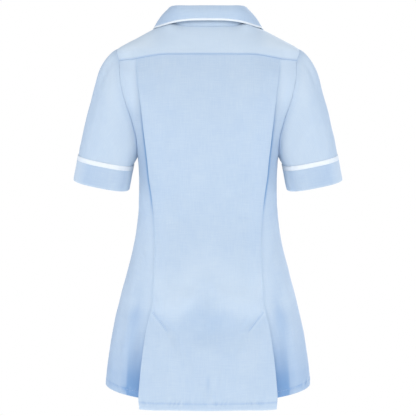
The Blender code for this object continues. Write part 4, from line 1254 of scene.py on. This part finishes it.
def make_lapel(side, word):
    """Lapel: the front's edge rolled over and laid back on the front, a little full at its roll."""
    share = edged(*LAPEL_COLUMNS)
    across, level = lapel_grid(side, edged(*LAPEL_ROWS), share)
    height = LAPEL_LIFT + LAPEL_FULLNESS * np.sin(np.pi * np.minimum(share / LAPEL_FULL_WIDTH, 1))
    radius = (LAPEL_LIFT + SHEET) / 2
    bend_across = across[:, :1] - radius * np.cos(LAPEL_ROLL_ANGLES)
    bend_height = LAPEL_LIFT - radius + radius * np.sin(LAPEL_ROLL_ANGLES)
    level = np.hstack((np.broadcast_to(level[:, :1], bend_across.shape), level))
    across = np.hstack((bend_across, across))
    height = np.broadcast_to(np.concatenate((bend_height, height)), across.shape)
    middle = on_front(side, across, level, height)
    # The lapel's paler edge is part rubbed and part painted highlight
    cloth = shell(f"lapel_{word}", middle, thick=DOUBLE_SHEET, sign=-side,
                  wear_and_painted_light=total(LAPEL_TONES, out=reach_from(middle, "right")),
                  relief=rumple(across, level, 9 + side) * 0.5)
    across, level = lapel_grid(side, np.linspace(0, 1, 60), np.linspace(0, 1, 24))
    line = np.column_stack([np.append(part[0], part[1:, -1]) for part in (across, level)])
    run = np.gradient(line, axis=0)
    away = unit(np.column_stack((-run[:, 1], run[:, 0])))
    points, far = (on_front(side, *(line + away * reach).T, PIPING_LIFT)
                   for reach in (PIPING_REACH, 2 * PIPING_REACH))
    piping = edging(f"lapel_piping_{word}", points, far - points, outward(points))
    finish_off(cloth, [("right", EDGE_LINE), ("top", EDGE_LINE)],
               also=[piping])


def edging(name, path, aside, up):
    """Narrow folded strip of white cloth along a path: a flat oval with its own UV map in metres."""
    aside, up = unit(aside), unit(up)
    angle = 2 * np.pi * np.arange(PIPING_SIDES) / PIPING_SIDES
    wide = fuller(np.cos(angle), 0.6) * PIPING_WIDTH / 2
    high = fuller(np.sin(angle), 0.8) * PIPING_THICK / 2
    rings = path[:, None] + aside[:, None] * wide[:, None] + up[:, None] * high[:, None]
    rows, columns = rings.shape[:2]
    vertex = closed(np.arange(rows * columns).reshape(rows, columns))
    corner = np.arange(vertex.size).reshape(vertex.shape)
    full = closed(rings)
    uv = np.stack((reach_from(full, "left"), reach_from(full, "top")), axis=-1).reshape(-1, 2)
    points = np.vstack((rings.reshape(-1, 3), rings[0].mean(axis=0), rings[-1].mean(axis=0)))
    faces, corners = cells(vertex).tolist(), cells(corner).tolist()
    tips = (len(points) - 2, len(points) - 1)
    for line, mark, tip in zip(rims(vertex, True), rims(corner, True), tips):
        faces += [[line[i + 1], line[i], tip] for i in range(columns)]
        corners += [[mark[i + 1], mark[i], mark[i]] for i in range(columns)]
    piece = mesh_piece(f"{name}_cloth", points.tolist(), faces, TAPE, [name], uv[np.concatenate(corners)])
    ready(piece)
    bpy.ops.object.mode_set(mode="EDIT")
    bpy.ops.mesh.select_all(action="SELECT")
    bpy.ops.mesh.normals_make_consistent(inside=False)
    bpy.ops.object.mode_set(mode="OBJECT")
    return piece


def neck_seam(along):
    """Points of the neck seam: along the yoke's top edge, then down the front's roll line."""
    share = np.abs(along) / COLLAR_SHOULDER
    back = form(*neckline(np.minimum(share, 1)))
    ahead = np.maximum(np.abs(along) - COLLAR_SHOULDER, 0) / (1 - COLLAR_SHOULDER)
    across, front_level = roll_line(ahead * COLLAR_FRONT_END)
    front = form(np.pi - turn_at(across, front_level), front_level)
    points = np.where((share <= 1)[:, None], back, front)
    points[:, 0] *= np.sign(along)
    return points


def collar_curve(kind, along):
    """Points of the collar's roll or edge line, mirrored where along is negative."""
    points = np.column_stack([smooth(COLLAR, f"{kind}_{axis}", np.abs(along), "along") for axis in "xyz"])
    points[:, 0] *= np.sign(along)
    return points


def make_collar():
    """Collar: up the stand, over the roll and down the fall, with white piping along its edge."""
    along = edged(*COLLAR_COLUMNS, -1, 1)
    seam = neck_seam(along)
    into = unit(np.cross(np.gradient(seam, axis=0), outward(seam)))
    neck = seam - outward(seam) * CLOTH / 2 + into * (DOUBLE_SHEET / 2 + SEAM)
    roll, edge = (collar_curve(kind, along) for kind in ("roll", "edge"))
    rise = unit(roll - neck)
    away = edge - roll
    away = unit(away - rise * np.sum(away * rise, axis=-1, keepdims=True))
    top = roll - rise * COLLAR_ROLL
    rows = [between(neck, top, share) for share in STAND_SHARES]
    for angle in ROLL_ANGLES:
        rows.append(top + COLLAR_ROLL * (away * (1 - np.cos(angle)) + rise * np.sin(angle)))
    start = top + away * 2 * COLLAR_ROLL
    for share in FALL_SHARES:
        bulge = COLLAR_BULGE * np.sin(np.pi * share)
        rows.append(between(start, edge, share) + (rise * COLLAR_BULGE_UP + away) * bulge)
    middle = np.array(rows)
    fallen = ease(np.arange(len(middle)), PIPING_START_ROW, len(middle) - 1)[:, None]
    relief = COLLAR_WAVE * fallen * np.sin(along * 11.0 + 0.6) * np.sin(along * 4.3 + 1.1)
    # The collar is made a little deeper, with a paler edge that is part rubbed and part painted highlight
    cloth = shell("collar", middle, thick=DOUBLE_SHEET, relief=relief,
                  wear_and_painted_light=total(COLLAR_TONES, low=reach_from(middle, "bottom")))
    middle, normal = cloth.outer - cloth.normal * DOUBLE_SHEET / 2, cloth.normal
    onward, down = unit(np.gradient(middle, axis=1)), unit(np.gradient(middle, axis=0))
    down[-1, 0] -= onward[-1, 0]
    down[-1, -1] += onward[-1, -1]
    fall = slice(PIPING_START_ROW, -1)
    line, aside, up = (np.vstack((first[fall, 0], bottom[-1], last[fall, -1][::-1]))
                       for first, bottom, last in
                       ((middle, middle, middle), (-onward, down, onward), (normal, normal, normal)))
    piping = edging("collar_piping", line + aside * PIPING_REACH, aside, up)
    finish_off(cloth, [("bottom", EDGE_LINE)], also=[piping])


def sleeve_ring(up, proud):
    """Ring of points square to the sleeve's axis, a distance up from its hem, moved out by proud."""
    axis = unit(SLEEVE_AXIS)
    across = unit(np.array((1.0, 0, 0)) - axis * axis[0])
    deep = np.cross(across, axis)
    deep = deep * np.sign(deep[1])
    angle = 2 * np.pi * np.arange(ARM_COUNT) / ARM_COUNT
    side, back = (fuller(wave, SLEEVE_SQUARE) for wave in (np.cos(angle), np.sin(angle)))
    wide, far = SLEEVE_HALF_ACROSS + proud, SLEEVE_HALF_DEEP + proud
    return SLEEVE_HEM - axis * up + np.outer(side, across) * wide + np.outer(back, deep) * far


def make_sleeve(side, word):
    """Short set-in sleeve: eased into the armhole at its head and falling in soft folds."""
    step = np.arange(ARM_COUNT) / ARM_FINE
    at_back = step <= ARM_STEPS
    down = np.where(at_back, step, 2 * ARM_STEPS - step)
    back_turn, level = armhole(down, ARM_TURN_BACK)
    front_turn, _ = armhole(down, ARM_TURN_FRONT)
    seam = form(np.where(at_back, back_turn, np.pi - front_turn), level)
    share = down / ARM_STEPS
    pitch = between(SLEEVE_HEAD_PITCH, SLEEVE_UNDER_PITCH, share ** 2)
    sideways = SLEEVE_SIDEWAYS * np.sin(np.pi * share) * np.where(at_back, 1, -1)
    ahead = unit(np.column_stack((np.cos(pitch), sideways, -np.sin(pitch))))
    tilt = SLEEVE_GAP_TILT * share[:, None]
    start = seam + (ahead * np.cos(tilt) + outward(seam) * np.sin(tilt)) * ARM_GAP
    end = sleeve_ring(CUFF_DEPTH + TAPE_WIDTH, 0)
    length = np.linalg.norm(end - start, axis=-1, keepdims=True)
    first = start + ahead * length * SLEEVE_HEAD_PULL
    second = end - unit(SLEEVE_AXIS) * length * SLEEVE_HEM_PULL
    rows = [start * (1 - t) ** 3 + 3 * first * t * (1 - t) ** 2 + 3 * second * t * t * (1 - t)
            + end * t ** 3 for t in edged(*SLEEVE_ROWS)]
    rows += [sleeve_ring(up, 0) for up in (CUFF_DEPTH + TAPE_WIDTH / 2, CUFF_DEPTH + SEAM)]
    middle = np.array(rows) * (side, 1, 1)
    middle = middle - normals_of(middle, True, -side) * SHEET / 2
    fall, low = reach_from(middle, "top"), reach_from(middle, "bottom")
    around = np.broadcast_to((step / (2 * ARM_STEPS) - 0.25) * SLEEVE_GIRTH, fall.shape)
    measures = {"fall": fall, "share": share,
                "gathers": np.sin(2 * np.pi * around / GATHER_PITCH + np.sin(around * 90))}
    relief = creased(SLEEVE_CREASES, around, fall, SLEEVE_GIRTH) + rumple(around, fall, 12 + side)
    relief = relief * ease(fall, 0.001, 0.016) * ease(low, 0.010, 0.030)
    relief = relief + puckers("sleeve", fall - SEAM_PUCKER_LINE, around, 13)
    # The sleeve's tones are painted light and painted shade
    cloth = shell(f"sleeve_{word}", middle, sign=-side, tube=True,
                  relief=relief + total(SLEEVE_RELIEF, **measures), wear_and_painted_light=total(SLEEVE_TONES, **measures))
    declare(cloth, make_tape(side, word))


def make_tape(side, word):
    """White tape sewn round the sleeve above its cuff, with a line of stitches at each edge."""
    rows = [sleeve_ring(CUFF_DEPTH + SEAM + TAPE_WIDTH * (1 - share), CUFF_PROUD - SHEET / 2)
            for share in edged(*TAPE_ROWS)]
    middle = np.array(rows) * (side, 1, 1)
    cloth = shell(f"sleeve_tape_{word}", middle, TAPE, sign=-side, tube=True,
                  relief=puckers("tape", 0.0, reach_from(middle, "left"), 4))
    lines = [run_stitches(beside(cloth, edge, TAPE_LINE)) for edge in ("top", "bottom")]
    return [cloth.piece, sew(f"sleeve_tape_{word}_stitches", lines, WHITE_THREAD)]


def make_cuff(side, word):
    """Turned-up cuff: an outer and an inner layer joined by a soft fold at the hem."""
    proud, under = CUFF_PROUD - SHEET / 2, -CLOTH + SHEET / 2
    fold_middle, radius = (proud + under) / 2, (proud - under) / 2
    outer = [(between(CUFF_DEPTH - SEAM, radius, share), proud) for share in edged(*CUFF_ROWS)]
    fold = [(radius - radius * np.sin(angle), fold_middle + radius * np.cos(angle))
            for angle in CUFF_FOLD_ANGLES]
    path = outer + fold + [(up, under) for up, _ in reversed(outer)]
    middle = np.array([sleeve_ring(up, over) for up, over in path]) * (side, 1, 1)
    around, depth = reach_from(middle, "left"), reach_from(middle, "top")
    relief = rumple(around, depth, 15 + side) * 0.5 + puckers("cuff", depth - SEAM_PUCKER_LINE, around, 6)
    # The cuff's tones: a little deeper overall, a paler fold, and painted light round the arm
    inward = (1 - np.cos(2 * np.pi * np.arange(ARM_COUNT) / ARM_COUNT)) / 2
    cloth = shell(f"cuff_{word}", middle, sign=-side, tube=True, relief=relief * ease(depth, 0.041, 0.034),
                  wear_and_painted_light=total(CUFF_TONES, depth=depth, inward=inward))
    declare(cloth)


def apply_modifiers(piece):
    """Apply a piece's modifiers in their order."""
    ready(piece)
    for modifier in list(piece.modifiers):
        bpy.ops.object.modifier_apply(modifier=modifier.name)


def shape_face(disc, up, insets, shift):
    """Inset the top (up 1) or underside (up -1) of a disc step by step, then shift its middle."""
    bpy.ops.object.mode_set(mode="EDIT")
    bpy.ops.mesh.select_all(action="DESELECT")
    bpy.ops.object.mode_set(mode="OBJECT")
    for face in disc.data.polygons:
        face.select = face.normal.z * up > 0.9
    bpy.ops.object.mode_set(mode="EDIT")
    for inset in insets:
        bpy.ops.mesh.inset(thickness=inset)
    bpy.ops.transform.translate(value=(0, 0, shift))
    bpy.ops.object.mode_set(mode="OBJECT")


def button_blank():
    """One button, facing +Z: a turned disc with a rounded rim, a sunk middle and four holes."""
    ready()
    bpy.ops.mesh.primitive_cylinder_add(vertices=56, radius=BUTTON_RADIUS, depth=BUTTON_THICK,
                                        location=(0, 0, BUTTON_THICK / 2))
    blank = bpy.context.object
    bpy.ops.object.mode_set(mode="EDIT")
    bpy.ops.mesh.select_mode(type="FACE")
    shape_face(blank, 1, (BUTTON_RIM, BUTTON_WELL), -BUTTON_WELL)
    shape_face(blank, -1, (BUTTON_WELL,), -BUTTON_UNDER)
    blank.location = (0, 0, 0)
    bpy.ops.object.transform_apply(location=True)
    round_off = blank.modifiers.new("round_off", "BEVEL")
    round_off.width, round_off.segments, round_off.limit_method = BUTTON_ROUNDING, 3, "ANGLE"
    apply_modifiers(blank)
    apart = (-BUTTON_HOLE_APART, BUTTON_HOLE_APART)
    for place in [(x, y, 0) for x in apart for y in apart]:
        ready()
        bpy.ops.mesh.primitive_cylinder_add(vertices=16, radius=BUTTON_HOLE_RADIUS, depth=0.02,
                                            location=place)
        drill = bpy.context.object
        cut = blank.modifiers.new("hole", "BOOLEAN")
        cut.object, cut.operation = drill, "DIFFERENCE"
        apply_modifiers(blank)
        bpy.data.objects.remove(drill)
    blank.data.materials.clear()
    blank.data.materials.append(RESIN.material)
    ready(blank)
    bpy.ops.object.shade_smooth_by_angle(angle=np.radians(35))
    return blank


def stood(right, up, out, place):
    """Matrix that sets something at a place, with its axes along three directions."""
    return Matrix([[right[k], up[k], out[k], place[k]] for k in range(3)] + [[0, 0, 0, 1]])


def make_buttons():
    """Five buttons down the right front, each sewn on with two bars of thread."""
    blank = button_blank()
    runs = []
    for index in range(BUTTON_COUNT):
        seat = form(np.pi, button_level(index), OVERLAP_LIFT + BUTTON_GAP)
        ahead = outward(seat)
        across = unit(np.cross(np.array((1.0, 0, 0)), ahead))
        aside = np.cross(ahead, across)
        piece = blank.copy()
        piece.data = blank.data.copy()
        piece.name = f"button_{index + 1}_resin"
        bpy.context.scene.collection.objects.link(piece)
        place = stood(aside, across, ahead, seat)
        piece.data.transform(place)
        if place.determinant() < 0:
            piece.data.flip_normals()
        dress(piece, RESIN.slot, f"button_{index + 1}")
        for y in (-BUTTON_HOLE_APART, BUTTON_HOLE_APART):
            for shift in (-BAR_APART, BAR_APART):
                bar = seat + across * (y + shift) + ahead * BAR_LEVEL
                runs.append([part[None] for part in (bar, aside, across, ahead, BAR_SIZE)])
    bpy.data.objects.remove(blank)
    sew("button_thread", runs, BLUE_THREAD._replace(slot=RESIN.slot))


def make_floor():
    """Plain pale floor with a faint glow of its own, as in a bright studio."""
    ready()
    bpy.ops.mesh.primitive_plane_add(size=FLOOR_SIZE, location=(0, 0, FLOOR_LEVEL))
    floor = bpy.context.object
    floor.name = "floor"
    material, tree, shader = new_material("pale_studio_floor")
    place = add_node(tree, "TexCoord").outputs["Object"]
    grain = add_node(tree, "TexNoise", {"Vector": place, "Scale": 3.0, "Detail": 2.0})
    base = add_node(tree, "Mix", {0: grain, 6: linear("#f8f8f8"), 7: linear("#ffffff")}, data_type="RGBA")
    set_inputs(shader, {"Base Color": base.outputs[2], "Roughness": 0.9,
                        "Emission Color": linear("#ffffff"), "Emission Strength": FLOOR_GLOW})
    floor.data.materials.append(material)


def make_light():
    """Even soft light: a white surround that the camera sees, a dimmer one that lights, and lamps."""
    world = bpy.data.worlds.new("studio")
    bpy.context.scene.world = world
    world.use_nodes = True
    tree = world.node_tree
    tree.nodes.clear()
    sight = add_node(tree, "LightPath").outputs["Is Camera Ray"]
    seen = add_node(tree, "Background", {"Color": linear("#ffffff"), "Strength": 1.0})
    lit = add_node(tree, "Background", {"Color": linear(WORLD_COLOUR), "Strength": WORLD_LIGHT})
    mix = add_node(tree, "MixShader", {0: sight, 1: lit, 2: seen})
    add_node(tree, "OutputWorld", {0: mix})
    for lamp in LAMPS:
        data = bpy.data.lights.new(lamp.name, "AREA")
        data.shape, data.size, data.size_y, data.energy = "RECTANGLE", lamp.wide, lamp.high, lamp.watts
        data.color = linear(lamp.colour)[:3]
        light = bpy.data.objects.new(lamp.name, data)
        bpy.context.scene.collection.objects.link(light)
        place = np.array((lamp.x, lamp.y, lamp.z))
        back = unit(place - np.array((0, 0, lamp.aim)))
        right = unit(np.cross((0, 0, 1.0), back))
        light.matrix_world = stood(right, np.cross(back, right), back, place)


def make_camera():
    """Camera at the photograph's angle."""
    camera = bpy.data.cameras.new("camera")
    camera.sensor_width, camera.lens = CAMERA_SENSOR, CAMERA_LENS
    holder = bpy.data.objects.new("camera", camera)
    holder.location = (0, CAMERA_BACK, CAMERA_LEVEL)
    holder.rotation_euler = (np.pi / 2 - CAMERA_PITCH, 0, np.pi)
    bpy.context.scene.collection.objects.link(holder)
    bpy.context.scene.camera = holder
    bpy.context.scene.view_settings.view_transform = "Standard"


make_floor()
make_light()
make_camera()
make_yoke()
make_back_centre()
for SIDE, WORD in ((1, "left"), (-1, "right")):
    make_side_back(SIDE, WORD)
    make_front(SIDE, WORD)
    make_lapel(SIDE, WORD)
    make_sleeve(SIDE, WORD)
    make_cuff(SIDE, WORD)
make_collar()
make_buttons()
